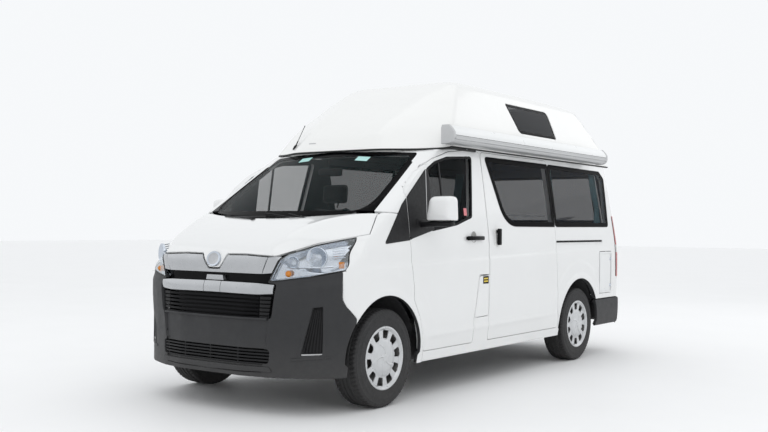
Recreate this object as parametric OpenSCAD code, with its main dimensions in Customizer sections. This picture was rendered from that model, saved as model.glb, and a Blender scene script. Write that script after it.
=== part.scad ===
// Camper van: semi-bonneted panel van with a moulded high roof, side awning and camper fit-out.
// Millimetres. +Z up, the nose points to -Y, +X is the vehicle's left, the tyres stand on z = 0.

/* [Overall] */
// Distance between the axles
wheelbase = 3210; // [2700:10:3900]
// Nose of the bumper to the front axle
front_overhang = 805; // [780:5:970]
// Rear axle to the back of the rear bumper
rear_overhang = 1085; // [900:5:1310]
// Width of the body at its waist
body_w = 1936; // [1800:4:2330]
// Top of the steel body, where the high roof sits
gutter_z = 1935; // [1925:5:2000]
// Top of the high roof
roof_z = 2570; // [2400:10:3090]

/* [Panels] */
// Thickness of doors, lids and pillars
door_t = 62; // [50:1:75]
// Thickness of fixed walls
wall_t = 50; // [40:1:62]
// Thickness of the high roof's shell
roof_t = 32; // [20:1:40]
// Thickness of the bonnet with its frame
bonnet_t = 28; // [20:1:34]
// Thickness of window glass
glass_t = 5; // [4:1:8]
// Gap around doors and lids
panel_gap = 6; // [5:0.5:8]

/* [Running gear] */
// Radius of the tyre
tyre_r = 352; // [320:1:360]
// Width of the tyre
tyre_w = 215; // [180:1:225]
// Radius of the rim
rim_r = 205; // [190:1:240]
// Distance between the wheel centres of one axle
track = 1672; // [1600:2:1700]
// Steering axis inboard of the wheel's centre
kingpin_in = 36; // [20:1:60]
// Radius of a wheel arch's opening
arch_r = 440; // [425:1:460]
// Radius of a wheel's stub axle
hub_r = 32; // [20:1:40]

/* [Openings] */
// Height of the sill's top edge, where the doors end
door_foot_z = 352; // [340:1:380]
// Height of the side windows' lower edge
window_foot_z = 1305; // [1290:1:1350]
// Height of the side windows' upper edge
window_head_z = 1868; // [1800:1:1880]
// Height of the cabin floor
floor_z = 560; // [520:1:600]
// Rear edge of the front door, behind the front axle
door_rear = 1442; // [1400:1:1500]
// Rear edge of the sliding door, ahead of the rear axle
slider_rear = 508; // [480:1:560]

/* [Awning] */
// Length of the awning's cassette
awning_len = 2940; // [2500:10:3100]
// Height of the awning's cassette
awning_h = 140; // [110:1:170]
// Depth of the awning's cassette
awning_d = 150; // [120:1:180]

/* [Hidden] */
$fn = 48;

length = front_overhang + wheelbase + rear_overhang;
half_w = body_w / 2;
front_y = -length / 2;
rear_y = length / 2;
fa = front_y + front_overhang;
ra = rear_y - rear_overhang;
seat_gap = 0.3;
sill_z = 275;
far = 6000;
slider_front = door_rear + panel_gap;
roof_seat = 0.3;

// Body side in cross-section: height, and distance inboard of the widest line
SIDE = [[250, 38], [450, 13], [700, 3], [950, 0], [1120, 3], [1300, 23], [1600, 63], [gutter_z, 112]];
// Inboard distance of the body side at a height
function inset(z) = lookup(z, SIDE);
// Body half-width at a height, measured t inside the outer skin
function side_x(z, t = 0) = half_w - inset(z) - t;

function unit(v) = v / norm(v);
// Corners of polygon p turned into arcs of radius r, in n steps
function rounded(p, r, n = 4) = let (m = len(p)) [
    for (i = [0 : m - 1])
        let (
            a = unit(p[(i + m - 1) % m] - p[i]),
            b = unit(p[(i + 1) % m] - p[i]),
            half = acos(a * b) / 2,
            c = p[i] + unit(a + b) * r / sin(half),
            s = p[i] + a * r / tan(half) - c,
            e = p[i] + b * r / tan(half) - c,
            turn = (atan2(e[1], e[0]) - atan2(s[1], s[0]) + 540) % 360 - 180,
            start = atan2(s[1], s[0])
        )
        each [for (k = [0 : n]) c + r * [cos(start + turn * k / n), sin(start + turn * k / n)]]
];
// Points of an arc from angle a0 to a1
function arc(c, r, a0, a1, n = 12) =
    [for (k = [0 : n]) c + r * [cos(a0 + (a1 - a0) * k / n), sin(a0 + (a1 - a0) * k / n)]];
function mirrored(p) = concat(p, [for (i = [len(p) - 1 : -1 : 0]) [-p[i][0], p[i][1]]]);
// Clockwise outline p grown outwards by g
function grown(p, g) = let (m = len(p)) [
    for (i = [0 : m - 1])
        let (
            a = unit(p[i] - p[(i + m - 1) % m]),
            b = unit(p[(i + 1) % m] - p[i]),
            n = unit([-a[1] - b[1], a[0] + b[0]])
        )
        p[i] + n * g / max(0.5, n * [-a[1], a[0]])
];
function reversed(p) = [for (i = [len(p) - 1 : -1 : 0]) p[i]];

// A cross-section drawn in (x, z), running from y0 to y1
module along_y(y0, y1) translate([0, y1, 0]) rotate([90, 0, 0]) linear_extrude(y1 - y0) children();
// A side view drawn in (y, z), running from x0 to x1
module along_x(x0, x1) translate([x0, 0, 0]) rotate([90, 0, 90]) linear_extrude(x1 - x0) children();
module box(lo, hi) translate(lo) cube(hi - lo);
module both_sides() { children(); mirror([1, 0, 0]) children(); }

// Closed cross-section of the body, t inside its skin, cut off at height top
module body_section(t = 0, top = gutter_z) {
    polygon(mirrored([for (p = SIDE) [half_w - p[1] - t, min(p[0], top)]]));
}
// Strip of one body side, t thick, from y0 to y1
module side_strip(t, y0, y1) along_y(y0, y1) polygon(concat(
    [for (p = SIDE) [side_x(p[0]), p[0]]],
    [for (p = reversed(SIDE)) [side_x(p[0], t), p[0]]]));
// Piece of the left body side, t thick, with the outline p drawn in (y, z)
module side_piece(p, t, skin = 0) intersection() {
    translate([-skin, 0, 0]) side_strip(t, min([for (q = p) q[0]]) - 1, max([for (q = p) q[0]]) + 1);
    along_x(half_w - 400, half_w + 50) polygon(p);
}
module side_cut(p) along_x(half_w - 400, half_w + 50) polygon(p);

// ---- Nose ----
// Half outline of the nose from above: distance from the middle, and setback from its front
NOSE = [[0, 0], [300, 12], [half_w - 468, 52], [half_w - 318, 115], [half_w - 218, 168],
    [half_w - 128, 238], [half_w - 58, 320], [half_w - 18, 412], [half_w, 520]];
// Side view of the nose on its middle line: setback, and height
CREST = [[0, 330], [0, 650], [42, 880], [48, 1060], [62, 1098], [105, 1150], [205, 1213], [305, 1262],
    [405, 1300], [505, 1332], [605, 1357], [700, 1375]];
// Corner of the nose along its diagonal: distance inside the corner, and height
SHOULDER = [[0, 200], [0, 880], [22, 985], [135, 1100], [178, 1190], [240, 1245], [390, 1385]];
corner_reach = (half_w + 462) / sqrt(2);

module shoulder_form(t, turn) translate([0, fa, 0]) rotate([0, 0, turn]) along_y(-far / 2, far / 2)
    polygon(concat([for (p = SHOULDER) [corner_reach - p[0] - t, p[1] - t * min(1, p[0] / 135)]],
        [[0, 1560], [-far / 2, 1560], [-far / 2, 200]]));
module nose_form(t, y_end = fa + 300) intersection() {
    translate([0, 0, 200]) linear_extrude(1300) polygon(mirrored(concat(
        [for (p = NOSE) [p[0] * (half_w - t) / half_w, front_y + p[1] + t]], [[half_w - t, y_end]])));
    along_x(-half_w - 50, half_w + 50) polygon(concat([[front_y + 30 + t, 232]],
        [for (p = CREST) [front_y + p[0] + t, p[1] - t * min(1, p[0] / 62)]],
        [[y_end, 1375 - t], [y_end, 232]]));
    shoulder_form(t, -45);
    shoulder_form(t, -135);
    along_y(front_y - 10, y_end) body_section(t);
}
module nose_shell(t) difference() {
    nose_form(0);
    nose_form(t, fa + 320);
}
// Front edge of the bonnet, seen from the front
BONNET_EDGE = [[0, 1097], [300, 1094], [half_w - 418, 1082], [half_w - 248, 1168], [half_w - 35, 1232]];
// Clearance behind the bonnet
bonnet_rear_gap = 11;
// Rear edge of the bonnet from above
function bonnet_rear(x) = fa - 268 + 240 * pow(x / (half_w - 148), 2);

module bonnet_zone(g) intersection() {
    along_y(front_y - 50, fa + 200) polygon(mirrored(concat(
        [for (p = BONNET_EDGE) p + [p[0] > 0 ? -g : 0, g * 0.7]],
        [[half_w - 108 - g, 1420], [0, 1420]])));
    linear_extrude(1500) polygon(concat(
        [for (k = [-6 : 6]) let (x = k / 6 * (half_w - 100)) [x, bonnet_rear(x) - g]],
        [[half_w, front_y - 20], [-half_w, front_y - 20]]));
}
module bonnet() color("white") intersection() {
    nose_shell(bonnet_t);
    bonnet_zone(panel_gap / 2);
}

// Headlight outline from the front, left side
LAMP = [[half_w - 418, 1072], [half_w - 248, 1158], [half_w - 45, 1222], [half_w + 60, 1240],
    [half_w + 60, 995], [half_w - 30, 985], [half_w - 200, 940], [half_w - 462, 902]];
lamp_back = 585;
module lamp_zone(g) intersection() {
    along_y(front_y - 50, front_y + lamp_back) polygon([
        for (p = LAMP) p + g * [p[0] < half_w - 400 ? -1 : 0, sign(p[1] - 1050)]]);
    along_x(0, half_w + 50) polygon([[front_y - 50, 800], [front_y + 366 + g, 800],
        [front_y + 366 + g, 990], [front_y + 552 + g, 1226], [front_y + 552 + g, 1300], [front_y - 50,
            1300]]);
}
module headlights() color("silver") both_sides() intersection() {
    nose_shell(door_t);
    lamp_zone(-0.5);
}

// Upper silver panel, lower silver bar and the dark slats between and below
module grille_zone(g) along_y(front_y - 20, front_y + 200) polygon(mirrored([
    [0, 1090 + g], [300, 1087 + g], [half_w - 425 + g, 1072 + g], [half_w - 470 + g, 896],
        [half_w - 405 + g, 893],
    [half_w - 438 + g, 655 - g], [0, 655 - g]]));
module grille() color("dimgray") intersection() {
    difference() {
        nose_form(6);
        nose_form(60);
    }
    grille_zone(-0.5);
}

module bumper_zone(g) along_x(-half_w - 50, half_w + 50) polygon([
    [front_y - 20, 200], [front_y + 480 - g, 200], [front_y + 420 - g, 520], [front_y + 460 - g, 652],
    [front_y + 372 - g, 740], [front_y + 345 - g, 790], [front_y + 345 - g, 980 - g], [front_y + 165,
        936 - g],
    [front_y - 20, 904 - g]]);
module front_bumper() color([0.2, 0.2, 0.21]) difference() {
    intersection() {
        nose_shell(door_t);
        bumper_zone(seat_gap);
    }
    grille_zone(0);
    both_sides() lamp_zone(0);
    arch_cut(fa, arch_r);
    along_y(front_y - 20, front_y + 150) polygon(rounded(mirrored([[half_w - 448, 452], [half_w - 455,
        352]]), 20));
}

// ---- Wheel arches ----
module arch_cut(y, r) for (s = [-1, 1]) intersection() {
    translate([s * half_w, y, tyre_r + 4]) rotate([0, 90, 0]) cylinder(r = r, h = 2 * (half_w - 520),
        center = true,
        $fn = 96);
    box([-half_w - 60, y - r - 10, 0], [half_w + 60, y + r + 10, 1000]);
}
module arch_leg_cut(y) box([-half_w - 60, y - arch_r + 22, 150], [half_w + 60, y + arch_r - 22, tyre_r]);

// ---- Front wings ----
// Front edge of the front door, from its foot up and over to the rear edge
DOOR_FRONT = [[484, door_foot_z], [460, 466], [409, 616], [335, 739], [330, 850], [305, 1002], [287, 1183],
    [283, 1535], [355, 1611], [497, 1714], [716, 1818], [948, 1885], [1200, gutter_z - 22]];
DOOR_BACK = [[door_rear, gutter_z - 22], [door_rear, 896], [1275, 896], [1206, 550], [1206, door_foot_z]];
function door_outline() = [for (p = concat(DOOR_FRONT, DOOR_BACK)) p + [fa, 0]];
wing_top = 1372;
module door_hole(g) along_x(half_w - 400, half_w + 50) offset_poly(door_outline(), g);
module offset_poly(p, g) polygon(grown(p, g));
// Front door hinges: pins in straps on the wing, in notches of the door's front edge
hinge = [half_w - 8, fa + 345];
hinge_z = [780, 1060];
hinge_pin_r = 3.5;
module door_hinges() for (z = hinge_z) {
    translate([hinge[0], hinge[1], z - 55]) cylinder(r = hinge_pin_r, h = 110);
    translate([hinge[0], hinge[1], z - 30]) linear_extrude(60) polygon([[0, 3.2], [-10, 6], [-70, 6],
        [-70, -45],
        [-54, -45], [-54, -6], [-10, -6], [0, -3.2]]);
}
module door_hinge_notches() for (z = hinge_z) {
    translate([hinge[0], hinge[1], z - 56]) cylinder(r = hinge_pin_r + seat_gap, h = 112);
    box([hinge[0] - 80, fa + 200, z - 36], [hinge[0] + 3.8, hinge[1] + 9, z + 36]);
}
module front_wings() color("white") both_sides() {
    wing();
    door_hinges();
}
module wing() difference() {
    intersection() {
        difference() {
            nose_form(0, fa + 520);
            nose_form(wall_t, fa + 540);
        }
        along_x(half_w - 400, half_w + 20) polygon([[front_y + 347, 740], [front_y + 374, 740],
            [front_y + 462, 652], [fa - 330, 600], [fa, sill_z], [fa + 484, sill_z], [fa + 485, 1100],
            [fa + 300, wing_top], [front_y + 347, wing_top]]);
    }
    bonnet_zone(-panel_gap / 2);
    lamp_zone(0);
    arch_cut(fa, arch_r);
    arch_leg_cut(fa);
    door_hole(panel_gap);
    bumper_zone(0);
    box([0, fa + 280, 1183], [half_w + 20, fa + 600, wing_top + 1]);
    translate([hinge[0], hinge[1], 712]) cylinder(r = 18, h = 34);
}

// ---- Windscreen ----
screen_slope = 32.5;
screen_r = 3412;
screen_foot = [0, fa - 250, 1345];
module screen_drum(t, h = 5000) translate(screen_foot + screen_r * [0, sin(screen_slope), -cos(screen_slope)])
    rotate([screen_slope - 90, 0, 0]) translate([0, 0, -h / 2]) cylinder(r = screen_r - t, h = h, $fn = 256);
header_z = 1892;
SCREEN = [[half_w - 160, 1392], [half_w - 222, header_z - 24]];
module screen_zone(g) along_y(fa - 420, fa + 900) polygon(mirrored([[0, 1358 - g], [SCREEN[0][0] * 0.6,
    1368 - g],
    SCREEN[0] + [g, -g], SCREEN[1] + [g, g], [SCREEN[1][0] * 0.5, header_z - 12 + g], [0,
        header_z - 8 + g]]));
module windscreen() color([0.3, 0.4, 0.4, 0.5]) intersection() {
    difference() {
        screen_drum(6);
        screen_drum(6 + glass_t);
    }
    screen_zone(-2);
}
// Cab in front of the doors, t inside its skin
module cab_form(t, y_end) intersection() {
    along_y(fa - 420, y_end) body_section(t);
    screen_drum(t);
    box([-far, fa - 420, 1000], [far, y_end, gutter_z - t]);
    along_x(-far, far) polygon([[fa - 300, 1000], [fa - 300, 1372 - t], [fa + 100, 1600 - t],
        [fa + 330, 1700 + 200], [fa + 500, header_z - t + 3], [fa + 760, header_z + 2 - t], [fa + 1010,
            gutter_z - t],
        [far, gutter_z - t], [far, 1000]]);
}
bulkhead_top = 1229;
flange = 45;
module windscreen_frame() color("white") {
    difference() {
        cab_form(0, fa + door_rear - 60);
        cab_form(door_t, fa + door_rear + 50);
        difference() {
            screen_zone(1);
            screen_drum(6 + glass_t + seat_gap);
        }
        screen_zone(-flange);
        both_sides() door_hole(panel_gap);
        box([-far, fa - 430, 900], [far, fa + 283, wing_top]);
        box([-far, fa + 283, 900], [far, far, 1183]);
        box([-far, fa + 1010, 900], [far, far, gutter_z + 1]);
        linear_extrude(1390) polygon(concat(
            [for (k = [-6 : 6]) let (x = k / 6 * (half_w - 100)) [x, bonnet_rear(x) + bonnet_rear_gap]],
            [[half_w - 100, front_y], [-half_w + 100, front_y]]));
    }
    box([-half_w + 165, fa - 62, bulkhead_top + seat_gap], [half_w - 165, fa + 4, bulkhead_top + 66]);
}

// ---- Doors ----
// Window line of the front door
DOOR_WINDOW = [[590, 1226], [590, 1727], [722, 1793], [913, 1842], [1303, window_head_z],
    [1250, 1600], [1203, 1363], [959, 1300]];
function door_window() = [for (p = DOOR_WINDOW) p + [fa, 0]];
module front_door() color("white") difference() {
    side_piece(door_outline(), door_t);
    side_cut(door_window());
    door_hinge_notches();
}
module door_glass() color([0.05, 0.06, 0.07, 0.6]) intersection() {
    translate([-8, 0, 0]) side_strip(glass_t, fa + 200, fa + door_rear);
    along_x(half_w - 400, half_w + 50) offset_poly(door_window(), -seat_gap);
}
module front_door_left() front_door();
module front_door_right() mirror([1, 0, 0]) front_door();
module door_glass_left() door_glass();
module door_glass_right() mirror([1, 0, 0]) door_glass();

mirror_y = fa + 460;
mirror_out = 272;
module door_mirror() color("white") {
    translate([half_w + mirror_out - 118, mirror_y, 1418]) rotate([90, 0, 0]) linear_extrude(120,
        center = true)
        polygon(rounded([[-118, -92], [118, -92], [104, 98], [-84, 98]], 40));
    translate([half_w + 42, mirror_y, 1300]) rotate([0, -4, 0]) cube([175, 74, 46], center = true);
}
module mirror_left() difference() {
    door_mirror();
    side_strip(door_t, mirror_y - 100, mirror_y + 100);
    box([0, mirror_y - 100, 1000], [half_w - 80, mirror_y + 100, 1500]);
}
module mirror_right() mirror([1, 0, 0]) mirror_left();

// Sliding door on the left side
slider_y0 = fa + slider_front;
slider_y1 = ra - slider_rear;
function slider_outline() = [[slider_y0, door_foot_z], [slider_y0, gutter_z - 22],
    [slider_y1 - 18, gutter_z - 22], [slider_y1, 985], [slider_y1 + 54, door_foot_z]];
win_front = slider_y0 + 68;
win_rear = ra + 743;
function slider_window() = rounded([[win_front, window_head_z], [win_front + 240, window_foot_z],
    [slider_y1 - 24, window_foot_z], [slider_y1 - 42, window_head_z]], 30);
module sliding_door() color("white") {
    difference() {
        side_piece(slider_outline(), door_t);
        side_cut(slider_window());
    }
    box([side_x(door_foot_z, 55), slider_y0 + 560, door_foot_z - panel_gap + seat_gap],
        [side_x(door_foot_z, 20), slider_y0 + 640, door_foot_z + 4]);
}
module sliding_door_glass() color([0.05, 0.06, 0.07, 0.6]) side_piece(slider_window(), glass_t, 8);

// Rear side window, and the longer one of the right side
function rear_window() = rounded([[slider_y1 - 10, window_head_z], [slider_y1 + 12, window_foot_z],
    [win_rear - 28, window_foot_z + 5], [win_rear, window_foot_z + 490], [win_rear - 90,
        window_head_z - 8]], 24);
function long_window() = rounded([[win_front, window_head_z], [win_front + 240, window_foot_z],
    [slider_y1 - 14, window_foot_z], [slider_y1 - 34, window_head_z]], 30);
module side_windows() color([0.05, 0.06, 0.07, 0.6]) {
    side_piece(rear_window(), glass_t, 8);
    mirror([1, 0, 0]) {
        side_piece(rear_window(), glass_t, 8);
        side_piece(long_window(), glass_t, 8);
    }
}

// ---- Side panels ----
rear_slope = 118;
tail_y = rear_y - 78;
// Rear face of the body, which leans forward towards the roof
function tail_at(z) = tail_y - rear_slope * max(0, z - 1000) / 900;
bumper_top = 568;
bumper_h = 270;
// Outline of a whole body side behind the front door
function flank() = [[fa + 487, sill_z], [ra, sill_z], [ra, bumper_top],
    [rear_y, bumper_top], [rear_y, gutter_z],
    [fa + 1010, gutter_z], [fa + 1010, 1800], [fa + 487, 600]];
// Fuel flap ahead of the sliding door
// Clearance between the front door and the fuel flap, along the body
flap_gap = 10.8;
FLAP = [[1275 + flap_gap, 888], [door_rear - 8, 892], [door_rear - 8, 556], [1206 + flap_gap, 552]];
function flap_outline() = [for (p = FLAP) p + [fa, 0]];
// Service hatch low down behind the rear wheel
hatch_y = [ra + 466, ra + 770];
hatch_z = [624, 1048];
function hatch_outline() = [[hatch_y[0], hatch_z[0]], [hatch_y[1], hatch_z[0]], [hatch_y[1], hatch_z[1]],
    [hatch_y[0], hatch_z[1]]];
corner_r = 110;
post_w = 132;
// Zone of a tail light, which wraps the rear corner
tail_lamp_z = [780, 1414];
module lamp_cut(g) intersection() {
    along_x(0, far) polygon([[ra + 880 - g, tail_lamp_z[0] - g], [rear_y, tail_lamp_z[0] - g],
        [rear_y, tail_lamp_z[1] + g], [ra + 838 - g, tail_lamp_z[1] + g], [ra + 872 - g, 1040]]);
    side_strip(post_w - 16 + g, ra + 700, rear_y + 20);
}

// Everything ahead of the body's rear face, t inside it, with rounded rear corners
module tail_plan(t) polygon(mirrored(concat([[0, -4200], [half_w + 20, -4200]],
    arc([half_w - corner_r, -corner_r], corner_r - t, 0, 90, 6), [[0, -t]])));
module tail_form(t) {
    translate([0, tail_y, 0]) linear_extrude(1000) tail_plan(t);
    translate([0, tail_y, 1000]) rotate([atan(rear_slope / 900), 0, 0]) linear_extrude(1700) tail_plan(t);
}
module rear_post(w, t) intersection() {
    difference() {
        tail_form(0);
        tail_form(t);
    }
    side_strip(w, ra + 600, rear_y + 20);
    box([0, ra + 600, bumper_top], [far, far, gutter_z]);
}

module side_panel(left) difference() {
    union() {
        intersection() {
            side_piece(flank(), wall_t);
            tail_form(0);
        }
        rear_post(post_w, door_t);
        side_piece([[fa + 487, sill_z], [ra - arch_r + 20, sill_z], [ra - arch_r + 20,
            door_foot_z - panel_gap],
            [fa + 487, door_foot_z - panel_gap]], 2 * wall_t);
        along_y(fa + 1010, tail_at(gutter_z)) polygon([[side_x(gutter_z), gutter_z],
            [side_x(gutter_z, 130), gutter_z], [side_x(gutter_z, 130), gutter_z - 12],
            [side_x(gutter_z - 12), gutter_z - 12]]);
    }
    door_hole(panel_gap);
    arch_cut(ra, arch_r);
    arch_leg_cut(ra);
    side_cut(rounded(rear_window(), 0.01, 1));
    lamp_cut(0.5);
    if (left) {
        along_x(half_w - 400, half_w + 50) offset_poly(slider_outline(), panel_gap);
        side_cut(slider_window());
        lid_recess(flap_outline(), flap_t + seat_gap);
        lid_recess(reversed(hatch_outline()), hatch_t + seat_gap);
        box([half_w - 14, slider_y1 + 8, 1146], [half_w + 50, ra + 557, 1166]);
    } else {
        side_cut(long_window());
    }
}
module side_panel_left() color("white") side_panel(true);
module side_panel_right() color("white") mirror([1, 0, 0]) side_panel(false);

// Recess in the body side for a lid with the outline p
module lid_recess(p, depth) intersection() {
    side_strip(depth, fa + 1000, rear_y);
    along_x(half_w - 400, half_w + 50) offset_poly(p, panel_gap);
}
flap_t = 12;
module fuel_flap() color("white") intersection() {
    side_strip(flap_t, fa + 1100, fa + door_rear);
    side_cut(flap_outline());
}
hatch_t = 16;
module service_hatch() color("white") intersection() {
    side_strip(hatch_t, hatch_y[0] - 1, hatch_y[1] + 1);
    side_cut(hatch_outline());
}

// ---- Rear ----
TAIL_WINDOW = [[side_x(1340, post_w + 75), 1340], [side_x(1845, post_w + 60), 1845]];
module tail_window() along_y(ra, rear_y + 100) polygon(rounded([TAIL_WINDOW[0], TAIL_WINDOW[1],
    [-TAIL_WINDOW[1][0], TAIL_WINDOW[1][1]], [-TAIL_WINDOW[0][0], TAIL_WINDOW[0][1]]], 50));
// Layer of the rear face between depths a and b
module tail_layer(a, b) difference() {
    tail_form(a);
    tail_form(b);
}
module tailgate() color("white") difference() {
    intersection() {
        tail_layer(0, door_t);
        along_y(ra + 500, rear_y + 100) body_section(post_w + panel_gap);
        box([-far, ra + 500, bumper_top + 6], [far, far, gutter_z - seat_gap]);
    }
    tail_window();
}
module tailgate_glass() color([0.05, 0.06, 0.07, 0.6]) intersection() {
    tail_layer(8, 8 + glass_t);
    tail_window();
}
module tail_lights() color("red") both_sides() intersection() {
    union() {
        rear_post(post_w - 16, door_t);
        intersection() {
            side_strip(wall_t, ra + 800, rear_y);
            tail_form(0);
        }
    }
    lamp_cut(0);
}
module rear_bumper() color([0.2, 0.2, 0.21]) difference() {
    intersection() {
        along_x(-half_w, half_w) polygon([[ra + 300, bumper_top - bumper_h], [rear_y - 30,
            bumper_top - bumper_h],
            [rear_y, 340], [rear_y, bumper_top - 70], [rear_y - 20, bumper_top - 4], [ra + 300,
                bumper_top - 4]]);
        linear_extrude(far) polygon(rounded([[-half_w + 3, ra], [half_w - 3, ra], [half_w - 40, rear_y],
            [-half_w + 40, rear_y]], 130, 8));
        along_y(ra, rear_y + 10) body_section();
    }
    box([-bumper_in - 0.5, ra - 10, 0], [bumper_in + 0.5, tail_y - door_t, bumper_top + 10]);
    arch_cut(ra, arch_r + 1);
}

// ---- High roof ----
roof_foot_z = gutter_z + roof_seat;
// Front face on the middle line: distance behind the front axle, and height
roof_lean = (roof_z - roof_foot_z) / 635;
function roof_up(dz) = roof_foot_z + dz * roof_lean;
ROOF_FRONT = [[590, -44], [700, 90], [875, 230], [1060, 350], [1280, 480], [1530, 612]];
ROOF_TOP = [[1760, 628], [2020, 635]];
function roof_side() = concat(
    [[fa + 560, roof_foot_z - 120]],
    [for (p = ROOF_FRONT) [fa + p[0], roof_up(p[1])]],
    [for (p = ROOF_TOP) [fa + p[0], roof_up(p[1])]],
    [[ra + 120, roof_up(622)], [ra + 640, roof_up(588)], [ra + 700, roof_up(560)], [ra + 828, roof_up(40)],
    [tail_at(gutter_z) + 4, roof_foot_z], [tail_at(gutter_z) + 4, roof_foot_z - 120]]);
// Cross-section: distance inboard of the roof's foot, and height above it
ROOF_SECTION = [[0, 0], [6, 60], [40, 180], [112, 300], [200, 440], [282, 560], [330, 606], [400, 628]];
roof_foot_x = side_x(gutter_z) + 12;
// Rounding of the front corners, in the direction 30 degrees off the nose
ROOF_SHOULDER = [[268, -80], [305, -35], [459, 145], [586, 263], [746, 385], [886, 490], [1010, 577],
    [1130, 640], [1130, 760]];
module roof_shoulder(t, turn) translate([0, fa, 0]) rotate([0, 0, turn]) along_y(-far / 2, far / 2)
    polygon(concat([for (p = ROOF_SHOULDER) [-p[0] - 0.8 * t, roof_up(p[1]) - 0.6 * t]],
        [[-far, roof_up(760)], [-far, roof_up(-80)]]));
module roof_form(t) intersection() {
    along_x(-far, far) offset_poly(roof_side(), -t);
    roof_shoulder(t, -60);
    roof_shoulder(t, -120);
    along_y(fa, rear_y) polygon(mirrored(concat([[0, roof_foot_z - 100], [roof_foot_x - t,
        roof_foot_z - 100]],
        [for (p = ROOF_SECTION) [roof_foot_x - p[0] - t, roof_up(p[1]) - t * min(1, p[0] / 330)]],
        [[0, roof_up(640) - t]])));
}
module high_roof() color("white") difference() {
    union() {
        difference() {
            roof_form(0);
            roof_form(roof_t);
        }
        translate([0, vent_y, roof_up(560)]) vent_block(vent_w / 2 + 30, vent_z - roof_up(560));
    }
    box([-far, fa - 10, 0], [far, rear_y, header_z + 3]);
    box([-far, fa + 1010, 0], [far, rear_y, roof_foot_z]);
    along_x(-far, far) polygon([[fa + 300, header_z + 4], [fa + 760, header_z + 4], [fa + 1011, roof_foot_z],
        [fa + 1011, 1500], [fa + 300, 1500]]);
    roof_window_zone();
    vent_hole();
}
// Side windows of the high roof: the ends of their lower edge, and how far their upper corners lie back
roof_window_y = [ra - 970, ra - 220];
roof_window_lean = [40, 140];
roof_window_foot = roof_up(203);
roof_window_head = roof_up(492);
function roof_glass_outline() = rounded([
    [roof_window_y[0] + roof_window_lean[0], roof_window_head], [roof_window_y[0], roof_window_foot],
    [roof_window_y[1], roof_window_foot], [roof_window_y[1] + roof_window_lean[1], roof_window_head]], 35);
module roof_window_zone() both_sides() along_x(150, far) polygon(roof_glass_outline());
module roof_windows() color([0.05, 0.06, 0.07, 0.6]) intersection() {
    difference() {
        roof_form(6);
        roof_form(6 + 8);
    }
    roof_window_zone();
}
vent_y = ra + 140;
vent_w = 400;
vent_z = roof_up(635);
vent_lid_t = 34;
module vent_block(half, h) translate([-half, -half, 0]) cube([2 * half, 2 * half, h]);
module vent_hole() translate([0, vent_y, roof_up(400)]) vent_block(vent_w / 2, 400);
module roof_vent() color("whitesmoke") translate([0, vent_y, vent_z + 0.5]) vent_block(vent_w / 2 + 45,
    vent_lid_t);

// ---- Awning ----
awning_y0 = fa + 720;
awning_z = gutter_z - 4;
awning_x = side_x(gutter_z) + 28;
module awning() color("white") {
    along_y(awning_y0, awning_y0 + awning_len) translate([awning_x, awning_z]) polygon(concat(
        [[0, 0], [awning_d * 0.8, 0]], arc([awning_d * 0.8, awning_h * 0.35], awning_h * 0.35, -80, 0, 4),
        [[awning_d * 0.8 + awning_h * 0.35, awning_h * 0.6], [awning_d * 0.82, awning_h],
            [awning_d * 0.1, awning_h],
        [0, awning_h * 0.75]]));
    for (k = [0.08, 0.5, 0.92]) let (y = awning_y0 + awning_len * k)
        box([roof_foot_x + 0.4, y - 30, roof_foot_z + 2], [awning_x + 2, y + 30, roof_foot_z + 60]);
}

// ---- Antenna ----
module antenna() color("black") difference() {
    translate([-half_w + 420, fa + 700, 1925]) rotate([-35, 0, 4]) {
        cylinder(r = 14, h = 70);
        cylinder(r = 3.5, h = 280, $fn = 16);
    }
    roof_form(-seat_gap);
}

// ---- Floor and frame ----
module wheelhouse(y, inner, outer) both_sides() difference() {
    intersection() {
        translate([half_w, y, tyre_r + 4]) rotate([0, 90, 0])
            cylinder(r = arch_r + 24, h = 2 * (half_w - inner), center = true, $fn = 96);
        box([inner - 12, y - far, floor_z - 55], [outer, y + far, far]);
    }
    intersection() {
        translate([half_w, y, tyre_r + 4]) rotate([0, 90, 0])
            cylinder(r = arch_r + 12, h = 2 * (half_w - inner - 14), center = true, $fn = 96);
        box([0, y - far, 0], [far, y + far, far]);
    }
}
front_house_x = 530;
rear_house_x = 690;
rail_x = 420;
bumper_in = half_w - 92;
rail_z = 400;
// Tow bar holes in the undersides of the rails
tow_y = tail_y - 330;
tow_pitch = 120;
tow_hole_r = 6.5;
floor_half = side_x(floor_z, door_t) - 7;
bulkhead_y = fa - 30;
bulkhead_t = 24;
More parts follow.
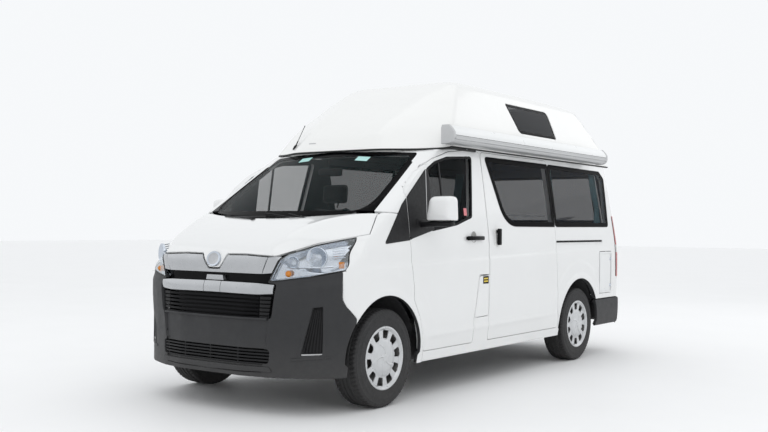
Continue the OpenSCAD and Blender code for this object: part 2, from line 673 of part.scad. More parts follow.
// Ends of the two frame rails, clear of the bumpers' inner faces
rail_front = front_y + door_t + 103;
rail_rear = tail_y - door_t - 8;
module floor_pan() color([0.35, 0.36, 0.38]) {
    difference() {
        union() {
            box([-floor_half, bulkhead_y, floor_z - 40], [floor_half, slider_y1 + 60, floor_z]);
            box([-side_x(floor_z - 40, wall_t) + 1, slider_y1 + 60, floor_z - 40],
                [side_x(floor_z - 40, wall_t) - 1, ra + 290, floor_z]);
            box([-bumper_in, ra, floor_z - 40], [bumper_in, tail_y - door_t - 6, floor_z]);
            both_sides() box([floor_half - 120, fa + 490, sill_z + 4], [side_x(sill_z, 2 * wall_t) - 0.6,
                ra - 445,
                floor_z - 40]);
            along_y(bulkhead_y, bulkhead_y + bulkhead_t) polygon(mirrored([[0, bulkhead_top],
                [half_w - 165, bulkhead_top],
                [half_w - 165, 830], [front_house_x - 14, 830], [front_house_x - 14, floor_z - 40],
                [0, floor_z - 40]]));
        }
        arch_block(fa, front_house_x);
        arch_block(ra, rear_house_x);
    }
    difference() {
        wheelhouse(fa, front_house_x, side_x(700, wall_t) - 34);
        nose_shell(door_t + 4);
    }
    difference() {
        wheelhouse(ra, rear_house_x, side_x(floor_z - 55, wall_t) - 1);
        both_sides() box([bumper_in, ra + 290, 0], [far, far, bumper_top]);
    }
    both_sides() difference() {
        box([rail_x - 35, rail_front, rail_z], [rail_x + 35, rail_rear, floor_z - 41]);
        for (k = [-1, 1]) translate([rail_x, tow_y + k * tow_pitch / 2,
            rail_z - 1]) cylinder(r = tow_hole_r, h = 61);
    }
    box([-rail_x - 140, rail_front, 410], [rail_x + 140, rail_front + 60, 500]);
    box([-rail_x - 240, rail_rear - 60, 410], [rail_x + 240, rail_rear, 500]);
    both_sides() box([front_house_x - 40, fa + 470, 420], [half_w - 190, fa + 520, 520]);
    both_sides() box([rear_house_x - 220, ra + 480, 440], [half_w - 120, ra + 540, 520]);
}
module arch_block(y, inner) both_sides() translate([half_w, y, tyre_r + 4]) rotate([0, 90, 0])
    cylinder(r = arch_r + 12, h = 2 * (half_w - inner), center = true, $fn = 96);

// ---- Engine and tank ----
engine_z = 400;
module engine() color("gray") box([-260, fa - 430, engine_z], [260, fa - 60, engine_z + 590]);
module fuel_tank() color([0.15, 0.15, 0.16]) box([70, fa + 1150, 290], [rail_x - 35.3, fa + 2150,
    floor_z - 40.3]);
exhaust_x = -250;
module exhaust() color([0.45, 0.44, 0.42]) {
    translate([exhaust_x, fa + 130, 430]) rotate([-90, 0, 0]) cylinder(r = 24, h = 1180);
    box([exhaust_x - 110, fa + 1300, 390], [exhaust_x + 90, fa + 1960, floor_z - 40.3]);
    translate([exhaust_x, fa + 1950, 478]) rotate([-90, 0, 0]) cylinder(r = 24, h = tail_y - fa - 1950 - 160);
}

// ---- Suspension ----
hub_z = tyre_r;
wheel_x = track / 2;
kingpin_x = wheel_x - kingpin_in;
pin_r = 12;
pin_gap = 0.3;
arm_z = [215, 475];
module kingpin_bore(z0, z1, r) translate([kingpin_x, fa, z0]) cylinder(r = r, h = z1 - z0);
knuckle_z = [242, 452];
module front_suspension() color([0.2, 0.2, 0.21]) {
    box([-rail_x + 35.3, fa - 90, 200], [rail_x - 35.3, fa + 90, engine_z - 0.4]);
    both_sides() {
        front_arm(arm_z[0], rail_x - 60, arm_z[0] - 11, knuckle_z[0] + 45);
        front_arm(arm_z[1], rail_x + 35.4, knuckle_z[1] - 45, arm_z[1] + 11);
    }
}
module front_arm(z, x0, pin_z0, pin_z1) {
    translate([0, 0, z - 11]) linear_extrude(22) polygon([[x0, fa - 130], [x0, fa + 130],
        [kingpin_x + 20, fa + 22], [kingpin_x + 20, fa - 22]]);
    kingpin_bore(pin_z0, pin_z1, pin_r);
}
module knuckle() color([0.3, 0.3, 0.31]) {
    difference() {
        box([kingpin_x - 34, fa - 42, knuckle_z[0]], [kingpin_x + 34, fa + 42, knuckle_z[1]]);
        kingpin_bore(knuckle_z[0] - 1, knuckle_z[0] + 50, pin_r + pin_gap);
        kingpin_bore(knuckle_z[1] - 50, knuckle_z[1] + 1, pin_r + pin_gap);
    }
    translate([kingpin_x + 30, fa, hub_z]) rotate([0, 90, 0]) cylinder(r = hub_r,
        h = wheel_x + 50 - kingpin_x - 30);
}
module knuckle_left() knuckle();
module knuckle_right() mirror([1, 0, 0]) knuckle();
spring_x = 560;
shaft_rise = 100;
module rear_axle() color([0.15, 0.15, 0.16]) {
    translate([0, ra, hub_z]) rotate([0, 90, 0]) cylinder(r = hub_r, h = 2 * (wheel_x + 50), center = true);
    translate([0, ra, hub_z]) rotate([0, 90, 0]) cylinder(r = 46, h = 2 * (wheel_x - 130), center = true);
    along_x(-105, 105) polygon([for (k = [22.5 : 45 : 359]) [ra, hub_z] + 130 * [cos(k), sin(k)]]);
    translate([0, ra, hub_z]) rotate([90 - atan(shaft_rise / (ra - fa + 59.6)), 0, 0])
        cylinder(r = 32, h = norm([ra - fa + 55, shaft_rise]));
    both_sides() {
        box([spring_x - 35, ra - 640, 404], [spring_x + 35, ra + 640, 434]);
        box([spring_x - 45, ra - 60, 300], [spring_x + 45, ra + 60, 404]);
        for (y = [-625, 590]) box([spring_x - 30, ra + y, 430], [spring_x + 30, ra + y + 35, floor_z - 40.3]);
    }
}

// ---- Wheels ----
module tyre_at(side, y) color([0.08, 0.08, 0.08]) translate([side * wheel_x, y, hub_z]) rotate([0,
    side * 90, 0])
    rotate_extrude($fn = 96) polygon(concat([[rim_r + seat_gap, -tyre_w / 2 + 22]],
        arc([tyre_r - 52, -tyre_w / 2 + 52], 52, 180 + 45, 360, 5), arc([tyre_r - 52, tyre_w / 2 - 52],
            52, 0, 135, 5),
        [[rim_r + seat_gap, tyre_w / 2 - 22]]));
dish = 60;
module rim_at(side, y) color("silver") translate([side * wheel_x, y, hub_z]) rotate([0, side * 90, 0])
    rotate_extrude($fn = 96) polygon([[hub_r + pin_gap, 10], [hub_r + pin_gap, dish], [120, dish + 6],
        [rim_r - 34, dish], [rim_r - 24, tyre_w / 2 - 24], [rim_r, tyre_w / 2 - 24], [rim_r,
            -tyre_w / 2 + 24],
        [rim_r - 12, -tyre_w / 2 + 24], [rim_r - 30, 20], [90, 10]]);
module rim_front_left() rim_at(1, fa);
module rim_front_right() rim_at(-1, fa);
module rim_rear_left() rim_at(1, ra);
module rim_rear_right() rim_at(-1, ra);
module tyre_front_left() tyre_at(1, fa);
module tyre_front_right() tyre_at(-1, fa);
module tyre_rear_left() tyre_at(1, ra);
module tyre_rear_right() tyre_at(-1, ra);

// ---- Cabin ----
dash_y = [bulkhead_y + bulkhead_t + seat_gap, fa + 330];
seat_x = 430;
driver_x = -seat_x;
module dashboard() color([0.16, 0.18, 0.2]) along_x(-half_w + 130, half_w - 130) polygon([
    [dash_y[0], bulkhead_top - 3], [dash_y[0], 860], [dash_y[0] + 60, 832], [dash_y[1] - 60, 860],
    [dash_y[1], 960], [dash_y[1], 1130], [dash_y[1] - 40, 1200], [fa + 90, bulkhead_top + 62],
    [fa + 4 + seat_gap, bulkhead_top + 62], [fa + 4 + seat_gap, bulkhead_top - 3]]);
column = [driver_x, dash_y[1] + 14, 1100];
column_tilt = 38;
module steering_wheel() color([0.06, 0.06, 0.07]) translate(column) rotate([column_tilt - 90, 0, 0]) {
    translate([0, 0, 150]) rotate_extrude() translate([180, 0]) circle(r = 15);
    translate([0, 0, 118]) cylinder(r = 52, h = 40);
    for (a = [20, 160, 270]) rotate([0, 0, a]) translate([30, -16, 134]) cube([142, 32, 16]);
    cylinder(r = 22, h = 120);
}
seat_y = fa + 720;
module seat(x) translate([x, seat_y, 0]) {
    box([-210, -200, floor_z + 0.4], [210, 240, floor_z + 230]);
    along_local(-240, 240) polygon(rounded([[-260, 790], [250, 790], [250, 920], [-240, 950]], 40));
    along_local(-240, 240) polygon(rounded([[170, 921], [290, 921], [440, 1460], [340, 1470]], 30));
    along_local(-130, 130) polygon(rounded([[352, 1480], [450, 1480], [470, 1660], [385, 1665]], 30));
    along_local(-50, 50) polygon([[392, 1440], [412, 1440], [418, 1500], [398, 1500]]);
}
module along_local(x0, x1) translate([x0, 0, 0]) rotate([90, 0, 90]) linear_extrude(x1 - x0) children();
module front_seats() color([0.1, 0.1, 0.11]) for (x = [-seat_x, seat_x]) seat(x);

cabinet_x = -side_x(1300, wall_t) + 4;
cabinet_depth = 394;
cabinet_top = 690;
seat_lift = 0.4;
bench_top = 330;
bench_back = 430;
module kitchen_cabinet() color([0.75, 0.73, 0.7]) {
    box([cabinet_x + 26, slider_y0 + 112, floor_z + seat_lift],
        [cabinet_x + 26 + cabinet_depth, ra - 480, floor_z + cabinet_top]);
}
module rear_bench() color([0.25, 0.28, 0.32]) {
    box([-rear_house_x + 20, ra - 60, floor_z + seat_lift], [rear_house_x - 20, ra + 740,
        floor_z + bench_top]);
    along_x(-rear_house_x + 20, rear_house_x - 20) polygon(rounded([
        [ra + 640, floor_z + bench_top + seat_gap], [ra + 740, floor_z + bench_top + seat_gap],
        [ra + 760, floor_z + bench_top + bench_back], [ra + 680, floor_z + bench_top + bench_back]], 30));
}
curtain_w = 150;
module curtains() color([0.3, 0.5, 0.55]) for (s = [-1, 1]) scale([s, 1, 1])
    for (y = [slider_y1 + 40, win_rear - 190])
        along_y(y, y + curtain_w) polygon([[side_x(1320, wall_t) - 0.5, 1290], [side_x(1320,
            wall_t) - 44, 1290],
            [side_x(window_head_z + 20, wall_t) - 40, window_head_z + 20], [side_x(window_head_z + 20,
                wall_t) - 0.5,
            window_head_z + 20]]);

floor_pan();
side_panel_left();
side_panel_right();
windscreen_frame();
front_wings();
bonnet();
grille();
front_bumper();
headlights();
windscreen();
front_door_left();
front_door_right();
door_glass_left();
door_glass_right();
mirror_left();
mirror_right();
sliding_door();
sliding_door_glass();
side_windows();
tailgate();
tailgate_glass();
rear_bumper();
tail_lights();
high_roof();
roof_windows();
roof_vent();
awning();
fuel_flap();
service_hatch();
antenna();
dashboard();
steering_wheel();
front_seats();
rear_bench();
kitchen_cabinet();
curtains();
engine();
fuel_tank();
exhaust();
front_suspension();
rear_axle();
knuckle_left();
knuckle_right();
rim_front_left();
rim_front_right();
rim_rear_left();
rim_rear_right();
tyre_front_left();
tyre_front_right();
tyre_rear_left();
tyre_rear_right();
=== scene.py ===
"""Camper van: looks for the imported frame, laid out as an add-on and run as a script."""

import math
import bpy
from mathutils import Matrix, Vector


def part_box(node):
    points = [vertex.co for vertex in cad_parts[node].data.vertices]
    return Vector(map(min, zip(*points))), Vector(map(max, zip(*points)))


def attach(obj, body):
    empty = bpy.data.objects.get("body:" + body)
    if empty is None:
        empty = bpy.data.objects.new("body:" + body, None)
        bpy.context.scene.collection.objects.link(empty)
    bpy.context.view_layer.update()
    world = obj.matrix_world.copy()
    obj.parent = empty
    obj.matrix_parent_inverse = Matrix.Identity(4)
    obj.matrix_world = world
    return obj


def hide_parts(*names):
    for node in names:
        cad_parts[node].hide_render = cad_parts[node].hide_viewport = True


bl_info = {
    "name": "Camper van",
    "version": (1, 0, 0),
    "blender": (4, 5, 0),
    "location": "3D View > Sidebar > Camper",
    "description": "Builds the panels, glass, wheels, trim and fittings of a high-roof camper van on its packed frame",
    "category": "Object",
}

import bmesh
import bpy
import numpy as np
from mathutils import Matrix, Vector

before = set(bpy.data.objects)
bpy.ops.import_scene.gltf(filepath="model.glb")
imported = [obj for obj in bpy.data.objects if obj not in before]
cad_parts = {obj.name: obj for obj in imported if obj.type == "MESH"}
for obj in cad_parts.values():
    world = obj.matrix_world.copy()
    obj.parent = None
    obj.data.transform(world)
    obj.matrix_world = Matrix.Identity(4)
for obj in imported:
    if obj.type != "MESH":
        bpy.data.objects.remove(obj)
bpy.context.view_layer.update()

# ---- Sizes shared with the frame, in metres ----
HALF_W = 0.968
NOSE_Y, TAIL_Y = -2.55, 2.55
FRONT_AXLE, REAR_AXLE = -1.745, 1.465
GUTTER_Z = 1.935
AXLE_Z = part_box("rim_front_left")[0].z + 0.205
ARCH_Z = AXLE_Z + 0.004
ARCH_R = 0.440
WALL_T = 0.050
BACK_Y = TAIL_Y - 0.078
# Depths that the skins get: thin panels, doors, roof and bumpers
BONNET_D, SKIN_D, DOOR_D, POST_D, GATE_D, CAB_D = 0.026, 0.03, 0.055, 0.046, 0.05, 0.04

SIDE = [(0.25, 0.038), (0.45, 0.013), (0.7, 0.003), (0.95, 0), (1.12, 0.003), (1.3, 0.023), (1.6, 0.063),
    (1.935, 0.112)]
NOSE = [(0, 0), (0.3, 0.012), (0.5, 0.052), (0.65, 0.115), (0.75, 0.168), (0.84, 0.238), (0.91, 0.32), (0.95, 0.412),
    (0.968, 0.52)]
CREST = [(0, 0.65), (0.042, 0.88), (0.048, 1.06), (0.062, 1.098), (0.105, 1.15), (0.205, 1.213), (0.305, 1.262),
         (0.405, 1.3), (0.505, 1.332), (0.605, 1.357), (0.7, 1.375)]
SHOULDER = [(0, 0.88), (0.022, 0.985), (0.135, 1.1), (0.178, 1.19), (0.24, 1.245), (0.39, 1.385)]
CORNER_REACH = (HALF_W + 0.462) / math.sqrt(2)
ROOF_Z = GUTTER_Z + 0.0003
ROOF_LEAN = (2.57 - ROOF_Z) / 0.635
ROOF_FRONT = [(0.59, -0.044), (0.7, 0.09), (0.875, 0.23), (1.06, 0.35), (1.28, 0.48), (1.53, 0.612), (1.76, 0.628),
    (2.02, 0.635)]
ROOF_SECTION = [(0, 0), (0.006, 0.06), (0.04, 0.18), (0.112, 0.3), (0.2, 0.44), (0.282, 0.56), (0.33, 0.606),
    (0.4, 0.628)]
ROOF_SHOULDER = [(0.268, -0.08), (0.305, -0.035), (0.459, 0.145), (0.586, 0.263), (0.746, 0.385), (0.886, 0.49),
    (1.01, 0.577), (1.13, 0.64), (1.13, 0.76)]


def roof_up(dz):
    """Height of a point dz above the roof's foot."""
    return ROOF_Z + dz * ROOF_LEAN


# ---- Body shape as smooth fields ----
def smoothing(spread, cell):
    """Bell-shaped weights at a cell's pitch, three spreads each way, and how many cells that is."""
    half = int(3 * spread / cell)
    bell = np.exp(-0.5 * (np.arange(-half, half + 1) * cell / spread) ** 2)
    return half, bell / bell.sum()


class Field:
    """Signed distance to a closed outline, with its corners softened: below zero inside."""

    def __init__(self, outline, lo, hi, spread, cell=0.006):
        self.lo, self.cell = np.array(lo, float), cell
        n = [int((hi[k] - lo[k]) / cell) + 1 for k in (0, 1)]
        u, v = np.meshgrid(lo[0] + cell * np.arange(n[0]), lo[1] + cell * np.arange(n[1]), indexing="ij")
        near = np.full(u.shape, 9.0)
        inside = np.zeros(u.shape, bool)
        for (u0, v0), (u1, v1) in zip(outline, outline[1:] + outline[:1]):
            du, dv = u1 - u0, v1 - v0
            t = np.clip(((u - u0) * du + (v - v0) * dv) / max(du * du + dv * dv, 1e-12), 0, 1)
            near = np.minimum(near, np.hypot(u - u0 - t * du, v - v0 - t * dv))
            if dv:
                inside ^= ((v0 > v) != (v1 > v)) & (u < u0 + (v - v0) * du / dv)
        grid = np.where(inside, -near, near)
        half, bell = smoothing(spread, cell)
        for axis in (0, 1):
            grid = np.apply_along_axis(lambda r: np.convolve(np.pad(r, half, mode="edge"), bell, "valid"), axis, grid)
        self.grid = grid

    def __call__(self, u, v):
        a = np.clip((u - self.lo[0]) / self.cell, 0, self.grid.shape[0] - 1.001)
        b = np.clip((v - self.lo[1]) / self.cell, 0, self.grid.shape[1] - 1.001)
        i, j = a.astype(int), b.astype(int)
        p, q = a - i, b - j
        g = self.grid
        return (g[i, j] * (1 - p) * (1 - q) + g[i + 1, j] * p * (1 - q) + g[i, j + 1] * (1 - p) * q + g[i + 1,
            j + 1] * p * q)


def soft_max(values, k):
    """Largest of several fields, blended over the distance k where two are alike."""
    out = values[0]
    for v in values[1:]:
        h = np.maximum(k - np.abs(out - v), 0) / k
        out = np.maximum(out, v) + h * h * k / 4
    return out


def smooth_line(points, spread, pitch):
    """Samples of a height-to-distance line with its corners softened."""
    x, y = np.array(points, float).T
    t = np.arange(x[0] - 4 * spread, x[-1] + 4 * spread, pitch)
    v = np.interp(t, x, y)
    v += np.where(t < x[0], (t - x[0]) * (y[1] - y[0]) / (x[1] - x[0]), 0)
    v += np.where(t > x[-1], (t - x[-1]) * (y[-1] - y[-2]) / (x[-1] - x[-2]), 0)
    half, bell = smoothing(spread, pitch)
    return t, np.convolve(np.pad(v, half, mode="edge"), bell, "valid")


INSET = smooth_line(SIDE, 0.045, 0.004)


def inset(z):
    """Distance of the body side inboard of its widest line."""
    return np.interp(z, *INSET)


def side_x(z):
    """Half-width of the body at a height."""
    return HALF_W - inset(z)


def tail_y(z):
    """Place of the rear face, which leans forward above the waist."""
    return BACK_Y - 0.118 * np.maximum(0, z - 1.0) / 0.9


def step(x, lo, hi):
    """Smooth step from 0 at lo to 1 at hi."""
    t = np.clip((x - lo) / (hi - lo), 0, 1)
    return t * t * (3 - 2 * t)


def ridge(z, at, width):
    """Rounded ridge line of height 1."""
    return np.exp(-(((z - at) / width) ** 2))


def side_relief(y, z):
    """Pressed lines and arch lips of the body side: how far they stand out, in metres."""
    out = np.zeros(np.broadcast(y, z).shape)
    waist = 1.005 + 0.024 * (y - FRONT_AXLE - 0.3)
    fade = step(y, FRONT_AXLE - 0.48, FRONT_AXLE - 0.1)
    out = out - 0.0062 * fade * step(z, waist - 0.012, waist + 0.012) * (1 - step(z, waist + 0.02, waist + 0.16))
    foot = 0.455 + 0.012 * (y - FRONT_AXLE)
    out = out + 0.0068 * ridge(z, foot, 0.022) * step(y, FRONT_AXLE + 0.45,
        FRONT_AXLE + 0.62) * (1 - step(y, REAR_AXLE - 0.62, REAR_AXLE - 0.45))
    for axle in (FRONT_AXLE, REAR_AXLE):
        r = np.hypot(y - axle, z - ARCH_Z)
        out = out + 0.0075 * (1 - step(r, ARCH_R + 0.022, ARCH_R + 0.062)) * step(z, 0.28, 0.4)
        out = out + 0.0032 * (1 - step(r, 0.585, 0.625)) * step(z, ARCH_Z + 0.1, ARCH_Z + 0.3)
    return out


NOSE_PLAN = Field([(-0.2, NOSE_Y)] + [(x, NOSE_Y + d) for x, d in NOSE] + [(HALF_W + 0.02, -0.6), (-0.2, -0.6)],
                  (-0.1, NOSE_Y - 0.1), (1.2, -0.7), 0.022)
NOSE_CREST = Field([(NOSE_Y + 0.008, -0.5)] + [(NOSE_Y + d, z) for d, z in CREST] + [(-1.2, 1.42), (-0.5, 1.5),
    (-0.5, -0.5)],
                   (NOSE_Y - 0.1, -0.1), (-0.7, 1.6), 0.016)
NOSE_CORNER = Field([(CORNER_REACH, -0.5)] + [(CORNER_REACH - d, z) for d, z in SHOULDER] + [(0, 1.7), (-1, 1.7),
    (-1, -0.5)],
                    (-0.4, -0.1), (1.3, 1.6), 0.020)


def nose_field(p):
    """Distance outside the nose's skin."""
    x, y, z = np.abs(p[..., 0]), p[..., 1], p[..., 2]
    side = x - side_x(z) - side_relief(y, z)
    return soft_max([NOSE_PLAN(x, y), NOSE_CREST(y, z), NOSE_CORNER((x - y + FRONT_AXLE) * math.sqrt(0.5), z), side],
        0.016)


ROOF_PROFILE = Field([(FRONT_AXLE + 0.55, 1.7)] + [(FRONT_AXLE + y, roof_up(z)) for y, z in ROOF_FRONT] + [
    (REAR_AXLE + 0.12, roof_up(0.622)), (REAR_AXLE + 0.64, roof_up(0.588)), (REAR_AXLE + 0.7, roof_up(0.56)),
    (REAR_AXLE + 0.828, roof_up(0.04)), (tail_y(GUTTER_Z) + 0.004, ROOF_Z), (tail_y(GUTTER_Z) + 0.01, 1.7)],
    (-1.4, 1.75), (2.6, 2.65), 0.024, 0.008)
ROOF_FOOT_X = HALF_W - 0.112 + 0.012
ROOF_CROSS = Field([(-0.4, 1.6), (ROOF_FOOT_X, 1.6)] + [(ROOF_FOOT_X - d, roof_up(z)) for d, z in ROOF_SECTION] + [
    (0, roof_up(0.64)), (-0.4, roof_up(0.63))], (-0.1, 1.75), (1.0, 2.65), 0.02)
ROOF_CORNER = Field([(-d, roof_up(z)) for d, z in ROOF_SHOULDER] + [(-4, roof_up(0.76)), (-4, roof_up(-0.2)),
    (-0.2, roof_up(-0.2))],
                    (-2.9, 1.75), (0.3, 2.65), 0.024, 0.008)


def roof_field(p):
    """Distance outside the high roof's skin."""
    x, y, z = np.abs(p[..., 0]), p[..., 1], p[..., 2]
    return soft_max([ROOF_PROFILE(y, z), ROOF_CROSS(x, z),
        ROOF_CORNER(x * 0.5 - (y - FRONT_AXLE) * math.sqrt(0.75), z)], 0.03)


CAST_REACH, CAST_STEPS = 2.6, 34


def cast(field, origins, directions):
    """Where rays from inside a field meet its skin, by halving the stretch that holds the crossing."""
    near = np.zeros(origins.shape[:-1])
    away = np.full(origins.shape[:-1], CAST_REACH)
    for _ in range(CAST_STEPS):
        mid = (near + away) / 2
        out = field(origins + directions * mid[..., None]) > 0
        away = np.where(out, mid, away)
        near = np.where(out, near, mid)
    return origins + directions * near[..., None]


# ---- Mesh tools ----
def grid_mesh(points):
    """bmesh of a lattice of points, faced so that normals follow columns x rows."""
    rows, cols = points.shape[:2]
    bm = bmesh.new()
    bmesh.ops.create_grid(bm, x_segments=cols - 1, y_segments=rows - 1, size=1)
    bm.verts.ensure_lookup_table()
    order = sorted(range(len(bm.verts)), key=lambda i: (round(bm.verts[i].co.y, 5), round(bm.verts[i].co.x, 5)))
    flat = points.reshape(-1, 3)
    for k, i in enumerate(order):
        bm.verts[i].co = Vector(flat[k])
    bm.normal_update()
    return bm


AXES = {"x": (1, 2), "y": (0, 2), "z": (0, 1)}


def inside(outline, u, v):
    """Whether a point is inside a closed outline."""
    hit = False
    for (u0, v0), (u1, v1) in zip(outline, outline[1:] + outline[:1]):
        if (v0 > v) != (v1 > v) and u < u0 + (v - v0) * (u1 - u0) / (v1 - v0):
            hit = not hit
    return hit


def scribe(bm, outline, axis):
    """Cuts edges along an outline drawn square to an axis."""
    a, b = AXES[axis]
    along = "xyz".index(axis)
    pad = 1e-4
    lo = [min(p[k] for p in outline) - pad for k in (0, 1)]
    hi = [max(p[k] for p in outline) + pad for k in (0, 1)]
    near = {}

    def reach(face):
        us = [v.co[a] for v in face.verts]
        vs = [v.co[b] for v in face.verts]
        return min(us), max(us), min(vs), max(vs)

    for f in bm.faces:
        r = reach(f)
        if r[0] < hi[0] and r[1] > lo[0] and r[2] < hi[1] and r[3] > lo[1]:
            near[f] = r
    for (u0, v0), (u1, v1) in zip(outline, outline[1:] + outline[:1]):
        if math.hypot(u1 - u0, v1 - v0) < 1e-6:
            continue
        ulo, uhi, vlo, vhi = min(u0, u1) - pad, max(u0, u1) + pad, min(v0, v1) - pad, max(v0, v1) + pad
        du, dv = u1 - u0, v1 - v0
        hit = []
        for f, r in list(near.items()):
            if not f.is_valid:
                del near[f]
                continue
            if r[0] < uhi and r[1] > ulo and r[2] < vhi and r[3] > vlo:
                side = [(v.co[a] - u0) * dv - (v.co[b] - v0) * du for v in f.verts]
                if min(side) < 0 < max(side):
                    hit.append(f)
        if not hit:
            continue
        geom = set(hit)
        for f in hit:
            geom.update(f.edges)
            geom.update(f.verts)
            near.pop(f, None)
        normal, centre = [0.0] * 3, [0.0] * 3
        normal[a], normal[b] = dv, -du
        centre[a], centre[b], centre[along] = u0, v0, 0.0
        done = bmesh.ops.bisect_plane(bm, geom=list(geom), dist=2e-5, plane_co=centre,
            plane_no=Vector(normal).normalized())
        for f in done["geom"]:
            if isinstance(f, bmesh.types.BMFace) and f.is_valid:
                near[f] = reach(f)
        for f in hit:
            if f.is_valid:
                near[f] = reach(f)


def drop(bm, test):
    """Deletes the faces whose centre passes a test."""
    bmesh.ops.delete(bm, geom=[f for f in bm.faces if test(f.calc_center_median())], context="FACES")


def trim(bm, outline, axis, keep_inside=True, where=lambda c: True):
    """Cuts along an outline and drops the faces inside or outside it, only where a test of their centre holds."""
    a, b = AXES[axis]
    scribe(bm, outline, axis)
    drop(bm, lambda c: where(c) and inside(outline, c[a], c[b]) != keep_inside)


def border(bm, clear, axis):
    """Cuts along an outline and gives what lies outside it the second material."""
    a, b = AXES[axis]
    scribe(bm, clear, axis)
    for f in bm.faces:
        c = f.calc_center_median()
        f.material_index = 0 if inside(clear, c[a], c[b]) else 1


SLIVER = 0.0012


def weld(bm, reach=1e-5):
    """Merges the vertices that lie together."""
    bmesh.ops.remove_doubles(bm, verts=bm.verts[:], dist=reach)


def tidy(bm):
    """Joins the slivers that cuts leave."""
    weld(bm, SLIVER)
    bmesh.ops.dissolve_degenerate(bm, edges=bm.edges[:], dist=SLIVER * 0.5)
    loose = [v for v in bm.verts if not v.link_faces]
    bmesh.ops.delete(bm, geom=loose, context="VERTS")


def face_out(bm, centre):
    """Turns an open skin's faces away from a centre."""
    bmesh.ops.recalc_face_normals(bm, faces=bm.faces[:])
    bm.normal_update()
    score = sum(f.calc_area() * f.normal.dot(f.calc_center_median() - Vector(centre)) for f in bm.faces)
    if score < 0:
        bmesh.ops.reverse_faces(bm, faces=bm.faces[:])
    bm.normal_update()


def thicken(bm, depth, edge=0.0022, lining=None, segments=2):
    """Gives a skin its thickness inwards and a rounded outer edge."""
    bm.normal_update()
    rim = [e for e in bm.edges if len(e.link_faces) == 1]
    rim_verts = {v for e in rim for v in e.verts}
    normals = {v: v.normal.copy() for v in bm.verts}
    outer = bm.faces[:]
    copied = bmesh.ops.extrude_face_region(bm, geom=outer, use_keep_orig=True)
    # The copy is moved inwards; each new vertex lies on the old one it came from
    table = {}
    for v in normals:
        table[tuple(round(c, 7) for c in v.co)] = normals[v]
    new_verts = [g for g in copied["geom"] if isinstance(g, bmesh.types.BMVert)]
    new_faces = [g for g in copied["geom"] if isinstance(g, bmesh.types.BMFace)]
    for v in new_verts:
        n = table.get(tuple(round(c, 7) for c in v.co))
        if n is not None:
            v.co -= n * depth
    bmesh.ops.recalc_face_normals(bm, faces=bm.faces[:])
    if lining is not None:
        for f in new_faces:
            f.material_index = lining
    if edge > 0:
        rim = [e for e in bm.edges if e.verts[0] in rim_verts and e.verts[1] in rim_verts and len(e.link_faces) == 2
               and e.calc_face_angle(0) > 0.7]
        bmesh.ops.bevel(bm, geom=rim, offset=edge, offset_type="OFFSET", segments=segments, profile=0.5,
            affect="EDGES",
                        clamp_overlap=False, material=-1)
    return bm


def mirror_x(bm, merge=True):
    """Adds the mirror image across the middle plane."""
    geom = bm.verts[:] + bm.edges[:] + bm.faces[:]
    copied = bmesh.ops.duplicate(bm, geom=geom)
    verts = [g for g in copied["geom"] if isinstance(g, bmesh.types.BMVert)]
    faces = [g for g in copied["geom"] if isinstance(g, bmesh.types.BMFace)]
    bmesh.ops.scale(bm, vec=(-1, 1, 1), verts=verts)
    bmesh.ops.reverse_faces(bm, faces=faces)
    if merge:
        bmesh.ops.remove_doubles(bm, verts=[v for v in bm.verts if abs(v.co.x) < 1e-4], dist=1e-4)


def piece(name, bm, materials, body, replaces=(), smooth=35):
    """Makes a finished piece from a bmesh: materials, body and the frame nodes it stands for."""
    mesh = bpy.data.meshes.new(name)
    bm.to_mesh(mesh)
    bm.free()
    obj = bpy.data.objects.new(name, mesh)
    bpy.context.scene.collection.objects.link(obj)
    for m in materials:
        mesh.materials.append(m)
    if smooth:
        mesh.shade_smooth()
        mesh.set_sharp_from_angle(angle=math.radians(smooth))
    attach(obj, body)
    if replaces:
        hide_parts(*replaces)
    return obj


def mirrored(bm):
    """Mirror-image copy of a bmesh, for the other side."""
    other = bm.copy()
    bmesh.ops.scale(other, vec=(-1, 1, 1), verts=other.verts[:])
    bmesh.ops.reverse_faces(other, faces=other.faces[:])
    return other


def flipped(bm, mirror):
    """The part itself, or its mirror image."""
    if not mirror:
        return bm
    other = mirrored(bm)
    bm.free()
    return other


def join(target, other):
    """Moves one bmesh's faces into another."""
    mesh = bpy.data.meshes.new("part")
    other.to_mesh(mesh)
    other.free()
    target.from_mesh(mesh)
    bpy.data.meshes.remove(mesh)
    return target


def both(bm):
    """A left-hand part and its mirror image."""
    return join(bm, mirrored(bm))


def reindex(bm, index):
    """Gives every face one material."""
    for f in bm.faces:
        f.material_index = index
    return bm


def quads(bm, rows):
    """Faces between rings of vertices that all have the same count."""
    count = len(rows[0])
    for a, b in zip(rows, rows[1:]):
        for k in range(count):
            j = (k + 1) % count
            bm.faces.new((a[k], a[j], b[j], b[k]))


# ---- Outlines ----
def rect(u0, v0, u1, v1):
    """Rectangle between two corners."""
    return [(u0, v0), (u1, v0), (u1, v1), (u0, v1)]


def offset(outline, d):
    """Closed outline moved outwards by d, whichever way it runs."""
    area = sum(u0 * v1 - u1 * v0 for (u0, v0), (u1, v1) in zip(outline, outline[1:] + outline[:1]))
    sign = 1 if area > 0 else -1
    out = []
    n = len(outline)
    for i in range(n):
        p, q, r = (Vector(outline[(i + k) % n]) for k in (-1, 0, 1))
        a, b = (q - p).normalized(), (r - q).normalized()
        na, nb = Vector((a.y, -a.x)) * sign, Vector((b.y, -b.x)) * sign
        m = (na + nb).normalized()
        out.append(tuple(q + m * d / max(0.45, m.dot(na))))
    return out


